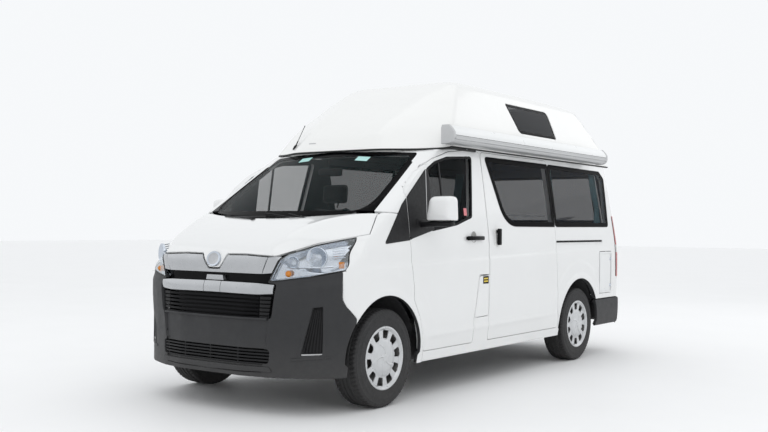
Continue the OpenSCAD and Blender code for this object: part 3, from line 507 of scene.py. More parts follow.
def rounded(outline, r, n=5):
    """Closed outline with its corners turned into arcs; r is one radius or one for each corner."""
    out = []
    m = len(outline)
    for i in range(m):
        p, q, s = (Vector(outline[(i + k) % m]) for k in (-1, 0, 1))
        want = r[i] if hasattr(r, "__len__") else r
        a, b = (p - q), (s - q)
        la, lb = a.length, b.length
        a.normalize()
        b.normalize()
        half = math.acos(max(-1, min(1, a.dot(b)))) / 2
        if want <= 0 or half > math.radians(88):
            out.append(tuple(q))
            continue
        cut = min(want / math.tan(half), 0.48 * la, 0.48 * lb)
        start, end = q + a * cut, q + b * cut
        for k in range(n + 1):
            t = k / n
            out.append(tuple((1 - t) ** 2 * start + 2 * t * (1 - t) * q + t * t * end))
    return out


def shifted(outline, du):
    """Outline moved along its first axis."""
    return [(u + du, v) for u, v in outline]


DOOR = rounded(shifted([(0.484, 0.352), (0.46, 0.466), (0.409, 0.616), (0.335, 0.739), (0.33, 0.85), (0.305, 1.002),
                        (0.287, 1.183), (0.283, 1.535), (0.355, 1.611), (0.497, 1.714), (0.716, 1.818), (0.948, 1.885),
                        (1.2, 1.913), (1.442, 1.913), (1.442, 0.896), (1.275, 0.896), (1.206, 0.55), (1.206, 0.352)],
                       FRONT_AXLE),
               [0.03, 0.2, 0.2, 0.06, 0.06, 0.2, 0.2, 0.03, 0.1, 0.15, 0.2, 0.3, 0.1, 0.05, 0.012, 0.03, 0.06, 0.03],
               4)
DOOR_WINDOW = rounded(shifted([(0.59, 1.252), (0.59, 1.727), (0.722, 1.793), (0.913, 1.842), (1.303, 1.868),
    (1.25, 1.6),
                               (1.203, 1.363), (0.959, 1.3)], FRONT_AXLE),
                               [0.02, 0.06, 0.1, 0.2, 0.03, 0.3, 0.03, 0.1], 4)
SLIDER_Y = (FRONT_AXLE + 1.448, REAR_AXLE - 0.508)
SLIDER = rounded([(SLIDER_Y[0], 0.352), (SLIDER_Y[0], 1.913), (SLIDER_Y[1] - 0.018, 1.913), (SLIDER_Y[1], 0.985),
                  (SLIDER_Y[1] + 0.054, 0.352)], [0.025, 0.05, 0.05, 0.3, 0.035], 4)
WIN_FRONT, WIN_REAR = SLIDER_Y[0] + 0.068, REAR_AXLE + 0.743
SLIDER_WINDOW = rounded([(WIN_FRONT, 1.868), (WIN_FRONT + 0.24, 1.305), (SLIDER_Y[1] - 0.024, 1.305),
    (SLIDER_Y[1] - 0.042, 1.868)], [0.035, 0.3, 0.035, 0.035], 8)
REAR_WINDOW = rounded([(SLIDER_Y[1] - 0.01, 1.868), (SLIDER_Y[1] + 0.012, 1.305), (WIN_REAR - 0.028, 1.31),
    (WIN_REAR, 1.795),
                       (WIN_REAR - 0.09, 1.86)], 0.03)
LONG_WINDOW = rounded([(WIN_FRONT, 1.868), (WIN_FRONT + 0.24, 1.305), (SLIDER_Y[1] - 0.014, 1.305),
    (SLIDER_Y[1] - 0.034, 1.868)], [0.035, 0.3, 0.035, 0.035], 8)
FLAP = rounded(shifted([(1.2858, 0.888), (1.434, 0.892), (1.434, 0.556), (1.2168, 0.552)], FRONT_AXLE), 0.02)
HATCH = rounded(rect(REAR_AXLE + 0.466, 0.624, REAR_AXLE + 0.77, 1.048), 0.014)


def arch_outline(axle, r):
    """Wheel arch opening seen from the side."""
    leg = r - 0.022
    low = math.asin((AXLE_Z - ARCH_Z) / r)
    ring = [(axle + r * math.cos(a), ARCH_Z + r * math.sin(a)) for a in np.linspace(low, math.pi - low, 40)]
    return ring + [(axle - leg, AXLE_Z - 0.02), (axle - leg, 0.1), (axle + leg, 0.1), (axle + leg, AXLE_Z - 0.02)]


# ---- Solid shapes ----
def rounded_block(lo, hi, edge, segments=2):
    """Block between two corners with rounded edges."""
    bm = bmesh.new()
    bmesh.ops.create_cube(bm, size=1)
    size = [b - a for a, b in zip(lo, hi)]
    bmesh.ops.scale(bm, vec=size, verts=bm.verts[:])
    bmesh.ops.translate(bm, vec=[(a + b) / 2 for a, b in zip(lo, hi)], verts=bm.verts[:])
    bmesh.ops.bevel(bm, geom=bm.edges[:], offset=min(edge, min(size) * 0.48), offset_type="OFFSET", segments=segments,
        profile=0.5,
                    affect="EDGES", clamp_overlap=True, material=-1)
    return bm


def cylinder_mesh(radius, depth, sides, edge, place):
    """Upright cylinder with rounded rims, then placed by a matrix."""
    bm = bmesh.new()
    bmesh.ops.create_cone(bm, cap_ends=True, segments=sides, radius1=radius, radius2=radius, depth=depth)
    if edge:
        rims = [e for e in bm.edges if abs(e.verts[0].co.z - e.verts[1].co.z) < 1e-6]
        bmesh.ops.bevel(bm, geom=rims, offset=edge, offset_type="OFFSET", segments=2, profile=0.5, affect="EDGES",
            clamp_overlap=True, material=-1)
    bmesh.ops.transform(bm, matrix=place, verts=bm.verts[:])
    return bm


def tube_mesh(points, radius, sides=10, cyclic=False, smooth=True):
    """Round bar along a line of points."""
    data = bpy.data.curves.new("line", "CURVE")
    data.dimensions = "3D"
    data.bevel_depth = radius
    data.bevel_resolution = max(0, sides // 4 - 1)
    data.use_fill_caps = True
    data.resolution_u = 3
    line = data.splines.new("NURBS" if smooth and len(points) > 3 else "POLY")
    line.points.add(len(points) - 1)
    for p, q in zip(line.points, points):
        p.co = (*q, 1)
    line.use_cyclic_u = cyclic
    if line.type == "NURBS":
        line.order_u = 4
        line.use_endpoint_u = not cyclic
    holder = bpy.data.objects.new("line", data)
    bpy.context.scene.collection.objects.link(holder)
    bpy.context.view_layer.update()
    mesh = bpy.data.meshes.new_from_object(holder.evaluated_get(bpy.context.evaluated_depsgraph_get()))
    bm = bmesh.new()
    bm.from_mesh(mesh)
    bpy.data.objects.remove(holder)
    bpy.data.curves.remove(data)
    bpy.data.meshes.remove(mesh)
    weld(bm, 1e-6)
    bmesh.ops.recalc_face_normals(bm, faces=bm.faces[:])
    return bm


def extruded(outline, axis, lo, hi, edge=0.0, segments=2):
    """Prism of an outline drawn square to an axis, from lo to hi along it, with rounded rims."""
    a, b = AXES[axis]
    along = "xyz".index(axis)
    bm = bmesh.new()
    verts = []
    for u, v in outline:
        co = [0.0] * 3
        co[a], co[b], co[along] = u, v, lo
        verts.append(bm.verts.new(co))
    face = bm.faces.new(verts)
    out = bmesh.ops.extrude_face_region(bm, geom=[face])
    move = [0.0] * 3
    move[along] = hi - lo
    bmesh.ops.translate(bm, vec=move, verts=[g for g in out["geom"] if isinstance(g, bmesh.types.BMVert)])
    bmesh.ops.recalc_face_normals(bm, faces=bm.faces[:])
    if edge:
        rims = [e for e in bm.edges if abs(e.verts[0].co[along] - e.verts[1].co[along]) < 1e-7]
        bmesh.ops.bevel(bm, geom=rims, offset=edge, offset_type="OFFSET", segments=segments, profile=0.5,
            affect="EDGES", clamp_overlap=True, material=-1)
    return bm


def turned(profile, steps, axis=(1, 0, 0), centre=(0, 0, 0)):
    """Shape spun round an axis from a profile of (along, radius) pairs."""
    bm = bmesh.new()
    verts = [bm.verts.new((a, 0, r)) for a, r in profile]
    edges = [bm.edges.new(pair) for pair in zip(verts, verts[1:])]
    bmesh.ops.spin(bm, geom=verts + edges, cent=(0, 0, 0), axis=(1, 0, 0), dvec=(0, 0, 0), angle=2 * math.pi,
        steps=steps, use_merge=True)
    weld(bm, 1e-6)
    bmesh.ops.recalc_face_normals(bm, faces=bm.faces[:])
    quarter = Vector((1, 0, 0)).rotation_difference(Vector(axis)).to_matrix().to_4x4()
    bmesh.ops.transform(bm, matrix=Matrix.Translation(centre) @ quarter, verts=bm.verts[:])
    return bm


def placed(bm, matrix):
    """Moves a whole bmesh."""
    bmesh.ops.transform(bm, matrix=matrix, verts=bm.verts[:])
    return bm


# ---- Finishes ----
# Where a noise texture turns from its low side to its high side
MOTTLE = (0.3, 0.7)


def node(tree, kind, **values):
    """Adds a shader node and sets its properties and inputs."""
    n = tree.nodes.new(kind)
    for key, value in values.items():
        if hasattr(n, key):
            setattr(n, key, value)
        else:
            n.inputs[key.replace("_", " ")].default_value = value
    return n


def noise(tree, place, scale, detail, rough=0.5):
    """Noise texture over a coordinate socket."""
    tex = node(tree, "ShaderNodeTexNoise", Scale=scale, Detail=detail, Roughness=rough)
    tree.links.new(place, tex.inputs["Vector"])
    return tex.outputs["Fac"]


def ranged(tree, source, low, high, at_low, at_high, **values):
    """Takes a socket's values from low..high to at_low..at_high."""
    span = node(tree, "ShaderNodeMapRange", **values)
    for key, value in (("From Min", low), ("From Max", high), ("To Min", at_low), ("To Max", at_high)):
        span.inputs[key].default_value = value
    tree.links.new(source, span.inputs["Value"])
    return span.outputs["Result"]


def finish(name, rgb, rough=0.5, spread=0.04, scale=6.0, rough_spread=0.06, grain=None, dust=None, weave=None,
        **sockets):
    """Principled finish on object coordinates, with mottled colour and uneven roughness.

    grain is its scale and depth, with "pebble" for a leathery one. weave is its thread count and depth.
    dust is its colour, the heights it fades between, and its strength.
    """
    m = bpy.data.materials.new(name)
    m.use_nodes = True
    t = m.node_tree
    link = t.links.new
    bsdf = t.nodes["Principled BSDF"]
    for key, value in sockets.items():
        bsdf.inputs[key.replace("_", " ")].default_value = value
    place = node(t, "ShaderNodeTexCoord").outputs["Object"]
    ramp = node(t, "ShaderNodeValToRGB")
    for stop, at, share in zip(ramp.color_ramp.elements, MOTTLE, (1 - spread, 1 + spread)):
        stop.position = at
        stop.color = [min(1, c * share) for c in rgb] + [1]
    link(noise(t, place, scale, 5.0, 0.6), ramp.inputs["Fac"])
    colour = ramp.outputs["Color"]
    if dust:
        tint, low, high, amount = dust
        split = node(t, "ShaderNodeSeparateXYZ")
        link(place, split.inputs[0])
        times = node(t, "ShaderNodeMath", operation="MULTIPLY")
        link(ranged(t, split.outputs["Z"], low, high, amount, 0.0, interpolation_type="SMOOTHSTEP"), times.inputs[0])
        link(noise(t, place, 38.0, 6.0, 0.7), times.inputs[1])
        mix = node(t, "ShaderNodeMix", data_type="RGBA")
        link(times.outputs[0], mix.inputs["Factor"])
        link(colour, mix.inputs["A"])
        mix.inputs["B"].default_value = list(tint) + [1]
        colour = mix.outputs["Result"]
    height = None
    if grain:
        size, depth = grain[:2]
        if "pebble" in grain:
            tex = node(t, "ShaderNodeTexVoronoi", feature="SMOOTH_F1", Scale=size)
            link(place, tex.inputs["Vector"])
            height = tex.outputs["Distance"]
        else:
            height = noise(t, place, size, 3.0)
    if weave:
        count, depth = weave
        threads = node(t, "ShaderNodeTexWave", wave_type="BANDS", bands_direction="DIAGONAL", Scale=count,
            Distortion=1.5, Detail=2.0)
        link(place, threads.inputs["Vector"])
        height = threads.outputs["Fac"]
        shade = node(t, "ShaderNodeMix", data_type="RGBA", blend_type="MULTIPLY")
        shade.inputs["Factor"].default_value = 0.35
        link(colour, shade.inputs["A"])
        link(threads.outputs["Color"], shade.inputs["B"])
        colour = shade.outputs["Result"]
    link(colour, bsdf.inputs["Base Color"])
    low, high = max(0.01, rough - rough_spread), min(1, rough + rough_spread)
    link(ranged(t, noise(t, place, scale * 3.1, 6.0, 0.65), *MOTTLE, low, high), bsdf.inputs["Roughness"])
    if height is not None:
        bump = node(t, "ShaderNodeBump", Strength=1.0, Distance=depth)
        link(height, bump.inputs["Height"])
        link(bump.outputs["Normal"], bsdf.inputs["Normal"])
    return m


def clear_finish(name, rgb, alpha_face, alpha_edge, rough=0.02, gloss=0.05):
    """Glass that is clearer face on than at a glancing angle."""
    m = finish(name, rgb, rough, 0.05, 3.0, 0.008, Specular_IOR_Level=gloss, Coat_Weight=0.0)
    t = m.node_tree
    facing = node(t, "ShaderNodeLayerWeight", Blend=0.35).outputs["Facing"]
    t.links.new(ranged(t, facing, 0.0, 0.8, alpha_face, alpha_edge), t.nodes["Principled BSDF"].inputs["Alpha"])
    return m


COLOUR = {"subtype": "COLOR", "size": 3, "min": 0, "max": 1}
LENGTH = {"subtype": "DISTANCE", "unit": "LENGTH"}


class VAN_PG_look(bpy.types.PropertyGroup):
    """Colours and small sizes that a user would change."""

    paint: bpy.props.FloatVectorProperty(name="Paint", description="Colour of the steel body",
        default=(0.80, 0.805, 0.803), **COLOUR)
    roof: bpy.props.FloatVectorProperty(name="High roof", description="Colour of the moulded roof",
        default=(0.84, 0.84, 0.825), **COLOUR)
    bumper: bpy.props.FloatVectorProperty(name="Bumpers", description="Colour of the grained bumpers",
        default=(0.0165, 0.017, 0.019), **COLOUR)
    cloth: bpy.props.FloatVectorProperty(name="Curtains", description="Colour of the curtain cloth",
        default=(0.22, 0.42, 0.47), **COLOUR)
    floor: bpy.props.FloatVectorProperty(name="Floor", description="Colour of the studio floor",
        default=(0.93, 0.93, 0.93), **COLOUR)
    seam: bpy.props.FloatProperty(name="Seam", description="Gap round doors and lids", **LENGTH, min=0.003, max=0.008,
        default=0.005)
    edge: bpy.props.FloatProperty(name="Edge", description="Rounding of pressed panel edges", **LENGTH, min=0.001,
        max=0.005, default=0.0024)
    exposure: bpy.props.FloatProperty(name="Light", description="Strength of the studio lights", min=0.1, max=4,
        default=1.0)


def look():
    """The scene's own settings for this van."""
    return bpy.context.scene.camper_van


MATERIALS = {}


def make_finishes():
    """Makes every finish, under the name that the pieces ask for."""
    s = look()
    road = (0.30, 0.28, 0.25)
    MATERIALS.update({
        "paint": finish("gloss_white_paint", s.paint, 0.16, 0.012, 2.0, 0.035, (900, 0.00002),
                        (road, 0.3, 0.75, 0.05), Coat_Weight=0.7, Coat_Roughness=0.04, Specular_IOR_Level=0.5),
        "roof": finish("gelcoat_white", s.roof, 0.2, 0.012, 1.6, 0.04, (260, 0.00006), Coat_Weight=0.45,
        Coat_Roughness=0.08),
        "bumper": finish("grained_bumper_plastic", s.bumper, 0.55, 0.10, 5.0, 0.06, (900, 0.00018, "pebble"),
        (road, 0.22, 0.6, 0.10)),
        "black": finish("moulded_black_plastic", (0.007, 0.007, 0.008), 0.5, 0.15, 12.0, 0.08, (700, 0.0001),
        Specular_IOR_Level=0.28),
        "gloss_black": finish("gloss_black_trim", (0.005, 0.005, 0.006), 0.2, 0.1, 10.0, 0.05, (500, 0.00002),
        Specular_IOR_Level=0.08),
        "rubber": finish("seal_rubber", (0.012, 0.012, 0.012), 0.65, 0.15, 20.0, 0.08, (400, 0.0001)),
        "silver": finish("satin_silver_paint", (0.46, 0.47, 0.485), 0.3, 0.03, 9.0, 0.05, (1500, 0.00003),
        Metallic=0.85, Coat_Weight=0.3, Coat_Roughness=0.15),
        "wheel": finish("wheel_cover_silver", (0.60, 0.61, 0.62), 0.33, 0.05, 14.0, 0.07, (1200, 0.00004),
        ((0.12, 0.1, 0.09), 0.1, 0.6, 0.10), Metallic=0.55, Coat_Weight=0.2),
        "chrome": finish("lamp_chrome", (0.56, 0.60, 0.66), 0.14, 0.02, 12.0, 0.03, (300, 0.00003), Metallic=1.0),
        "lens_white": finish("pale_lens", (0.55, 0.53, 0.52), 0.12, 0.05, 20.0, 0.04, (300, 0.0002), Coat_Weight=0.6),
        "amber": finish("amber_bulb", (0.85, 0.30, 0.03), 0.15, 0.05, 30.0, 0.03, (400, 0.0001),
        Transmission_Weight=0.4),
        "red": finish("red_lens", (0.36, 0.008, 0.01), 0.1, 0.08, 16.0, 0.04, (300, 0.0002), Coat_Weight=0.8),
        "frit": finish("black_glass_border", (0.0015, 0.0015, 0.002), 0.2, 0.1, 8.0, 0.05, (800, 0.00001),
        Specular_IOR_Level=0.02),
        "tyre": finish("tyre_rubber", (0.018, 0.018, 0.019), 0.72, 0.25, 24.0, 0.1, (500, 0.0002),
        ((0.16, 0.14, 0.12), 0.0, 0.6, 0.10)),
        "under": finish("underbody_paint", (0.03, 0.03, 0.032), 0.6, 0.3, 8.0, 0.12, (160, 0.0004)),
        "cast": finish("cast_iron", (0.10, 0.098, 0.095), 0.55, 0.3, 22.0, 0.12, (260, 0.0003), Metallic=0.6),
        "steel": finish("exhaust_steel", (0.34, 0.32, 0.30), 0.42, 0.2, 18.0, 0.12, (90, 0.0002), Metallic=0.85),
        "dash": finish("dash_plastic", (0.028, 0.034, 0.042), 0.55, 0.12, 6.0, 0.06, (800, 0.0002, "pebble")),
        # Light grey trim; the door handle cups also use it as painted shade inside their recess.
        "trim": finish("light_grey_trim_and_cup_shade", (0.34, 0.34, 0.33), 0.6, 0.06, 7.0, 0.06, (700, 0.0002, "pebble")),
        "seat": finish("seat_weave", (0.022, 0.023, 0.026), 0.88, 0.25, 40.0, 0.06, weave=(170, 0.0008),
        Sheen_Weight=0.3, Sheen_Roughness=0.5),
        "bench": finish("bench_weave", (0.15, 0.17, 0.19), 0.9, 0.15, 40.0, 0.05, weave=(140, 0.0009),
        Sheen_Weight=0.3, Sheen_Roughness=0.5),
        "cloth": finish("curtain_weave", s.cloth, 0.85, 0.10, 30.0, 0.05, weave=(260, 0.0005), Sheen_Weight=0.35,
        Sheen_Roughness=0.4),
        "board": finish("cabinet_laminate", (0.62, 0.58, 0.50), 0.45, 0.06, 3.0, 0.06, (300, 0.00006)),
        "awning": finish("powder_coated_white", (0.80, 0.81, 0.81), 0.3, 0.015, 1.6, 0.04, (260, 0.00005),
        Coat_Weight=0.2),
        "alloy": finish("anodised_grey", (0.52, 0.525, 0.53), 0.36, 0.03, 5.0, 0.06, (1200, 0.00003), Metallic=0.4),
        "yellow": finish("yellow_label", (0.75, 0.55, 0.05), 0.45, 0.05, 30.0, 0.06, (600, 0.00003)),
        "teal": finish("pale_teal_label", (0.42, 0.72, 0.68), 0.4, 0.05, 30.0, 0.05, (600, 0.00003)),
        "door_tint": clear_finish("tinted_door_pane", (0.003, 0.005, 0.006), 0.16, 0.55),
        "side_tint": clear_finish("tinted_side_pane", (0.002, 0.004, 0.008), 0.16, 0.52),
        "tint": clear_finish("dark_tinted_pane", (0.002, 0.004, 0.007), 0.44, 0.80),
        "pane": clear_finish("green_screen_pane", (0.006, 0.014, 0.015), 0.10, 0.34, 0.02, 0.07),
        "lens": clear_finish("clear_lamp_cover", (0.80, 0.84, 0.86), 0.05, 0.4, 0.03),
        "pink": finish("pink_label", (0.72, 0.22, 0.24), 0.45, 0.05, 30.0, 0.05, (600, 0.00003)),
    })


def mat(*names):
    """Finishes by name."""
    return [MATERIALS[n] for n in names]


# ---- Skins ----
def side_skin(y0, y1, z0=0.25, z1=GUTTER_Z, cell_y=0.018, cell_z=0.012):
    """Left body side as a lattice."""
    rows = int((z1 - z0) / cell_z) + 2
    cols = int((y1 - y0) / cell_y) + 2
    z, y = np.meshgrid(np.linspace(z0, z1, rows), np.linspace(y0, y1, cols), indexing="ij")
    x = side_x(z) + side_relief(y, z)
    bm = grid_mesh(np.stack([x, y, z], -1))
    face_out(bm, (0, (y0 + y1) / 2, 1))
    return bm


REAR_CORNER_R, REAR_BUMPER_R = 0.11, 0.13


def flank_skin():
    """Left body side from behind the cab, round the rear corner, up to the tailgate."""
    r = REAR_CORNER_R
    rows = 140
    z = np.linspace(0.25, GUTTER_Z, rows)[:, None]
    flat = np.linspace(FRONT_AXLE + 0.45, BACK_Y - r, 206)
    turn = np.linspace(0, math.pi / 2, 12)[1:]
    reach = np.linspace(0, 0.16, 9)[1:]
    y = np.concatenate([flat, BACK_Y - r + r * np.sin(turn), np.full(8, BACK_Y)])[None, :]
    inner = np.concatenate([np.zeros(206), r - r * np.cos(turn), r + reach])[None, :]
    lean = tail_y(z) - BACK_Y
    bend = step(y, BACK_Y - 0.75, BACK_Y - r)
    relief = side_relief(y, z) * (1 - step(y, BACK_Y - 0.3, BACK_Y - 0.1))
    p = np.stack([side_x(z) + relief - inner, y + lean * bend, z + 0 * y], -1)
    bm = grid_mesh(p)
    face_out(bm, (0, 0.5, 1))
    return bm


NOSE_CENTRE = np.array([0, FRONT_AXLE, 0.42])


def nose_skin():
    """Left half of the nose, as rays round the front wheel's axis meet it."""
    cell = 0.85
    turn = np.radians(np.arange(-40, 206, cell))[:, None]
    swing = np.radians(np.linspace(0, 90, int(90 / cell) + 1))[None, :]
    d = np.stack([np.sin(swing) + 0 * turn, -np.cos(swing) * np.cos(turn), np.cos(swing) * np.sin(turn)], -1)
    o = np.broadcast_to(NOSE_CENTRE, d.shape)
    p = cast(nose_field, o, d)
    p[:, 0, 0] = 0
    return p


NOSE_POINTS = nose_skin()


def nose_mesh():
    """The left half of the nose as a fresh bmesh, faced outwards."""
    bm = grid_mesh(NOSE_POINTS)
    weld(bm)
    face_out(bm, (0.2, FRONT_AXLE + 0.1, 0.6))
    return bm


BONNET_EDGE = [(0, 0.988), (0.052, 0.99), (0.086, 1.03), (0.122, 1.09), (0.3, 1.092), (0.55, 1.082), (0.72, 1.168),
    (0.933, 1.232)]
LAMP = rounded([(0.598, 1.097), (0.72, 1.158), (0.923, 1.222), (1.028, 1.24), (1.028, 0.995), (0.938, 0.985),
    (0.768, 0.94), (0.506, 0.902)],
               [0.02, 0.2, 0.1, 0, 0, 0.1, 0.2, 0.02])
LAMP_SIDE = [(NOSE_Y - 0.05, 0.8), (NOSE_Y + 0.366, 0.8), (NOSE_Y + 0.366, 0.99), (NOSE_Y + 0.552, 1.226),
    (NOSE_Y + 0.552, 1.3), (NOSE_Y - 0.05, 1.3)]
GRILLE = rounded([(-0.2, 1.09), (0.3, 1.087), (0.594, 1.092), (0.502, 0.896), (0.563, 0.893), (0.53, 0.655),
    (-0.2, 0.655)],
                 [0, 0.3, 0.015, 0.012, 0.02, 0.03, 0])
BUMPER_SIDE = rounded([(NOSE_Y - 0.1, 0.1), (NOSE_Y + 0.48, 0.1), (NOSE_Y + 0.42, 0.52), (NOSE_Y + 0.46, 0.652),
    (NOSE_Y + 0.372, 0.74),
                       (NOSE_Y + 0.345, 0.79), (NOSE_Y + 0.345, 0.98), (NOSE_Y + 0.165, 0.936), (NOSE_Y - 0.1, 0.904)],
                      [0, 0, 0.1, 0.02, 0.06, 0.05, 0.01, 0.1, 0])


CENTRE = [(-0.3, 0.88), (0.548, 0.88), (0.50, 0.62), (0.462, 0.30), (-0.3, 0.30)]


def bonnet_rear(x):
    """Rear edge of the bonnet from above."""
    return FRONT_AXLE - 0.268 + 0.24 * (x / 0.82) ** 2


def bonnet_front(gap):
    """Bonnet outline from the front, left half, grown by gap."""
    edge = rounded([(-0.3, 0.988)] + BONNET_EDGE, [0, 0, 0.03, 0, 0.015, 0, 0.05, 0.12, 0])
    line = [(x - (gap if x > 0 else 0), z + 0.7 * gap) for x, z in edge]
    return line + [(HALF_W - 0.108 - gap, 1.42), (-0.3, 1.42)]


def bonnet_top(gap):
    """Bonnet outline from above, left half."""
    return [(-0.3, NOSE_Y - 0.1)] + [(1.2, NOSE_Y - 0.1), (1.2, bonnet_rear(1.2))] + [
        (x, bonnet_rear(x) - gap) for x in np.linspace(0.86, 0, 26)] + [(-0.3, bonnet_rear(0) - gap)]


class VAN_OT_bonnet(bpy.types.Operator):
    """Bonnet with its two soft creases and the lip over the grille"""

    bl_idname = "van.bonnet"
    bl_label = "Bonnet"

    def execute(self, context):
        bm = nose_mesh()
        drop(bm, lambda c: c.z < 0.95 or c.y > FRONT_AXLE + 0.1)
        # Crease from the windscreen's foot towards the headlight's inner corner, with a hollow inboard of it
        for v in bm.verts:
            x, y = v.co.x, v.co.y
            run = (y - NOSE_Y) / 0.55
            line = 0.50 + 0.17 * run
            d = x - line
            lift = 0.006 * math.exp(-((d / 0.045) ** 2)) - 0.004 * math.exp(-(((d + 0.16) / 0.12) ** 2))
            v.co.z += lift * float(step(run, 0.1, 0.45)) * float(1 - step(run, 0.85, 1.1))
        trim(bm, bonnet_front(look().seam / 2), "y")
        trim(bm, bonnet_top(look().seam / 2 + 0.001), "z")
        tidy(bm)
        mirror_x(bm)
        thicken(bm, BONNET_D, look().edge + 0.001, 1)
        piece("bonnet_panel", bm, mat("paint", "under"), "bonnet", ["bonnet"])
        return {"FINISHED"}


def dark_arch(bm, axle, index):
    """Gives the inner wall of a wheel arch, behind its painted lip, another material."""
    for f in bm.faces:
        c = f.calc_center_median()
        if math.hypot(c.y - axle,
                c.z - ARCH_Z) < ARCH_R + 0.004 and abs(c.x) < side_x(c.z) - 0.004 and abs(f.normal.x) < 0.4:
            f.material_index = index


class VAN_OT_wings(bpy.types.Operator):
    """Front wings with their arch lips"""

    bl_idname = "van.wings"
    bl_label = "Front wings"

    def execute(self, context):
        gap = look().seam / 2
        bm = nose_mesh()
        drop(bm, lambda c: c.x < 0.5 or c.z > 1.45)
        wing = [(NOSE_Y + 0.2, 0.6), (NOSE_Y + 0.46, 0.6), (FRONT_AXLE - 0.4, 0.27), (FRONT_AXLE + 0.482, 0.27),
                (FRONT_AXLE + 0.482, 0.5), (FRONT_AXLE + 0.6, 1.0), (FRONT_AXLE + 0.3, 1.372), (NOSE_Y + 0.2, 1.42)]
        trim(bm, wing, "x")
        trim(bm, offset(DOOR, gap), "x", False)
        trim(bm, arch_outline(FRONT_AXLE, ARCH_R), "x", False)
        top = bonnet_top(-0.004)
        trim(bm, bonnet_front(-gap), "y", False, lambda c: inside(top, c.x, c.y))
        # What lies behind the bonnet and inboard of the door line belongs to the screen frame
        drop(bm, lambda c: c.y > FRONT_AXLE - 0.25 and c.z > 1.3 and c.x < side_x(c.z) - 0.05)
        lamp = offset(LAMP, gap)
        scribe(bm, lamp, "y")
        trim(bm, offset(LAMP_SIDE, gap), "x", False, lambda c: inside(lamp, c.x, c.z))
        trim(bm, offset(BUMPER_SIDE, 0.0015), "x", False)
        tidy(bm)
        mirror_x(bm, False)
        thicken(bm, SKIN_D, look().edge, 1)
        dark_arch(bm, FRONT_AXLE, 1)
        piece("wing_panels", bm, mat("paint", "under"), "body", ["front_wings"])
        return {"FINISHED"}


class VAN_OT_front_bumper(bpy.types.Operator):
    """Grained front bumper with its vents and lower lip"""

    bl_idname = "van.front_bumper"
    bl_label = "Front bumper"

    def execute(self, context):
        bm = nose_mesh()
        drop(bm, lambda c: c.z > 1.02 or c.y > NOSE_Y + 0.55)
        trim(bm, BUMPER_SIDE, "x")
        scribe(bm, GRILLE, "y")
        lamp = offset(LAMP, 0.001)
        scribe(bm, lamp, "y")
        scribe(bm, LAMP_SIDE, "x")
        drop(bm, lambda c: inside(GRILLE, c.x, c.z) or (inside(lamp, c.x, c.z) and inside(LAMP_SIDE, c.y, c.z)))
        intake = rounded([(-0.2, 0.452), (0.52, 0.452), (0.513, 0.352), (-0.2, 0.352)], [0, 0.03, 0.03, 0])
        trim(bm, arch_outline(FRONT_AXLE, ARCH_R), "x", False)
        trim(bm, rect(-0.2, 0.262, 1.2, -0.1), "y", False)
        trim(bm, intake, "y", False)
        scribe(bm, VENT, "y")
        trim(bm, offset(VENT, -0.006), "y", False, lambda c: c.y < NOSE_Y + 0.33)
        scribe(bm, CENTRE, "y")
        tidy(bm)
        for v in bm.verts:
            # The centre panel lies back between the corners, whose top edge is chamfered
            c = v.co
            if inside(CENTRE, c.x, c.z):
                v.co.y += 0.012
            elif c.z > 0.5:
                line = 0.835 + 0.12 * (c.x - 0.6)
                reach = 0.013 * float(1 - step(c.z, line, line + 0.07)) * float(step(c.z, 0.5, 0.8))
                v.co += Vector((0.5 * reach, -reach, 0))
            if abs(c.x) < 1e-3:
                c.x = 0
        mirror_x(bm)
        thicken(bm, SKIN_D, 0.003, 0)
        piece("front_bumper_shell", bm, mat("bumper"), "body", ["front_bumper"])
        return {"FINISHED"}


TAIL_LAMP = rounded([(REAR_AXLE + 0.88, 0.78), (3.0, 0.78), (3.0, 1.414), (REAR_AXLE + 0.838, 1.414),
    (REAR_AXLE + 0.872, 1.04)],
                    [0.02, 0, 0, 0.02, 0.1])


class VAN_OT_body_sides(bpy.types.Operator):
    """Both body sides behind the cab, with rear corners and gutter lips"""

    bl_idname = "van.body_sides"
    bl_label = "Body sides"

    def execute(self, context):
        gap = look().seam / 2
        for side in ("left", "right"):
            bm = flank_skin()
            trim(bm, [(FRONT_AXLE + 0.487, 0.275), (3.0, 0.275), (3.0, 1.925), (FRONT_AXLE + 1.01, 1.925),
                      (FRONT_AXLE + 1.01, 1.8), (FRONT_AXLE + 0.487, 0.6)], "x")
            trim(bm, offset(DOOR, gap), "x", False)
            trim(bm, arch_outline(REAR_AXLE, ARCH_R), "x", False)
            trim(bm, rect(REAR_AXLE + 0.3, 0.575, 3.0, 0.1), "x", False)
            trim(bm, REAR_WINDOW, "x", False)
            trim(bm, TAIL_LAMP, "x", False, lambda c: c.x > side_x(c.z) - 0.116)
            if side == "left":
                trim(bm, offset(SLIDER, gap), "x", False)
                trim(bm, SLIDER_WINDOW, "x", False)
                trim(bm, offset(FLAP, gap), "x", False)
                trim(bm, offset(HATCH, gap * 0.7), "x", False)
                rail = rounded(rect(SLIDER_Y[1] + 0.004, 1.147, REAR_AXLE + 0.557, 1.165), 0.008, 3)
                trim(bm, rail, "x", False)
            else:
                trim(bm, LONG_WINDOW, "x", False)
            # The rear post ends at the tailgate's edge
            drop(bm, lambda c: c.y > 2.2 and c.x < side_x(c.z) - 0.128)
            tidy(bm)
            thicken(bm, POST_D, look().edge, 1)
            dark_arch(bm, REAR_AXLE, 2)
            bm = flipped(bm, side == "right")
            piece("side_skin_" + side, bm, mat("paint", "dash", "under"), "body",
                ["side_panel_" + side])
        return {"FINISHED"}


def door_skin():
    """Left front door's shell with its window opening."""
    bm = side_skin(FRONT_AXLE + 0.26, FRONT_AXLE + 1.46)
    trim(bm, offset(DOOR, -look().seam / 2), "x")
    trim(bm, DOOR_WINDOW, "x", False)
    tidy(bm)
    thicken(bm, DOOR_D, look().edge, 1)
    return bm


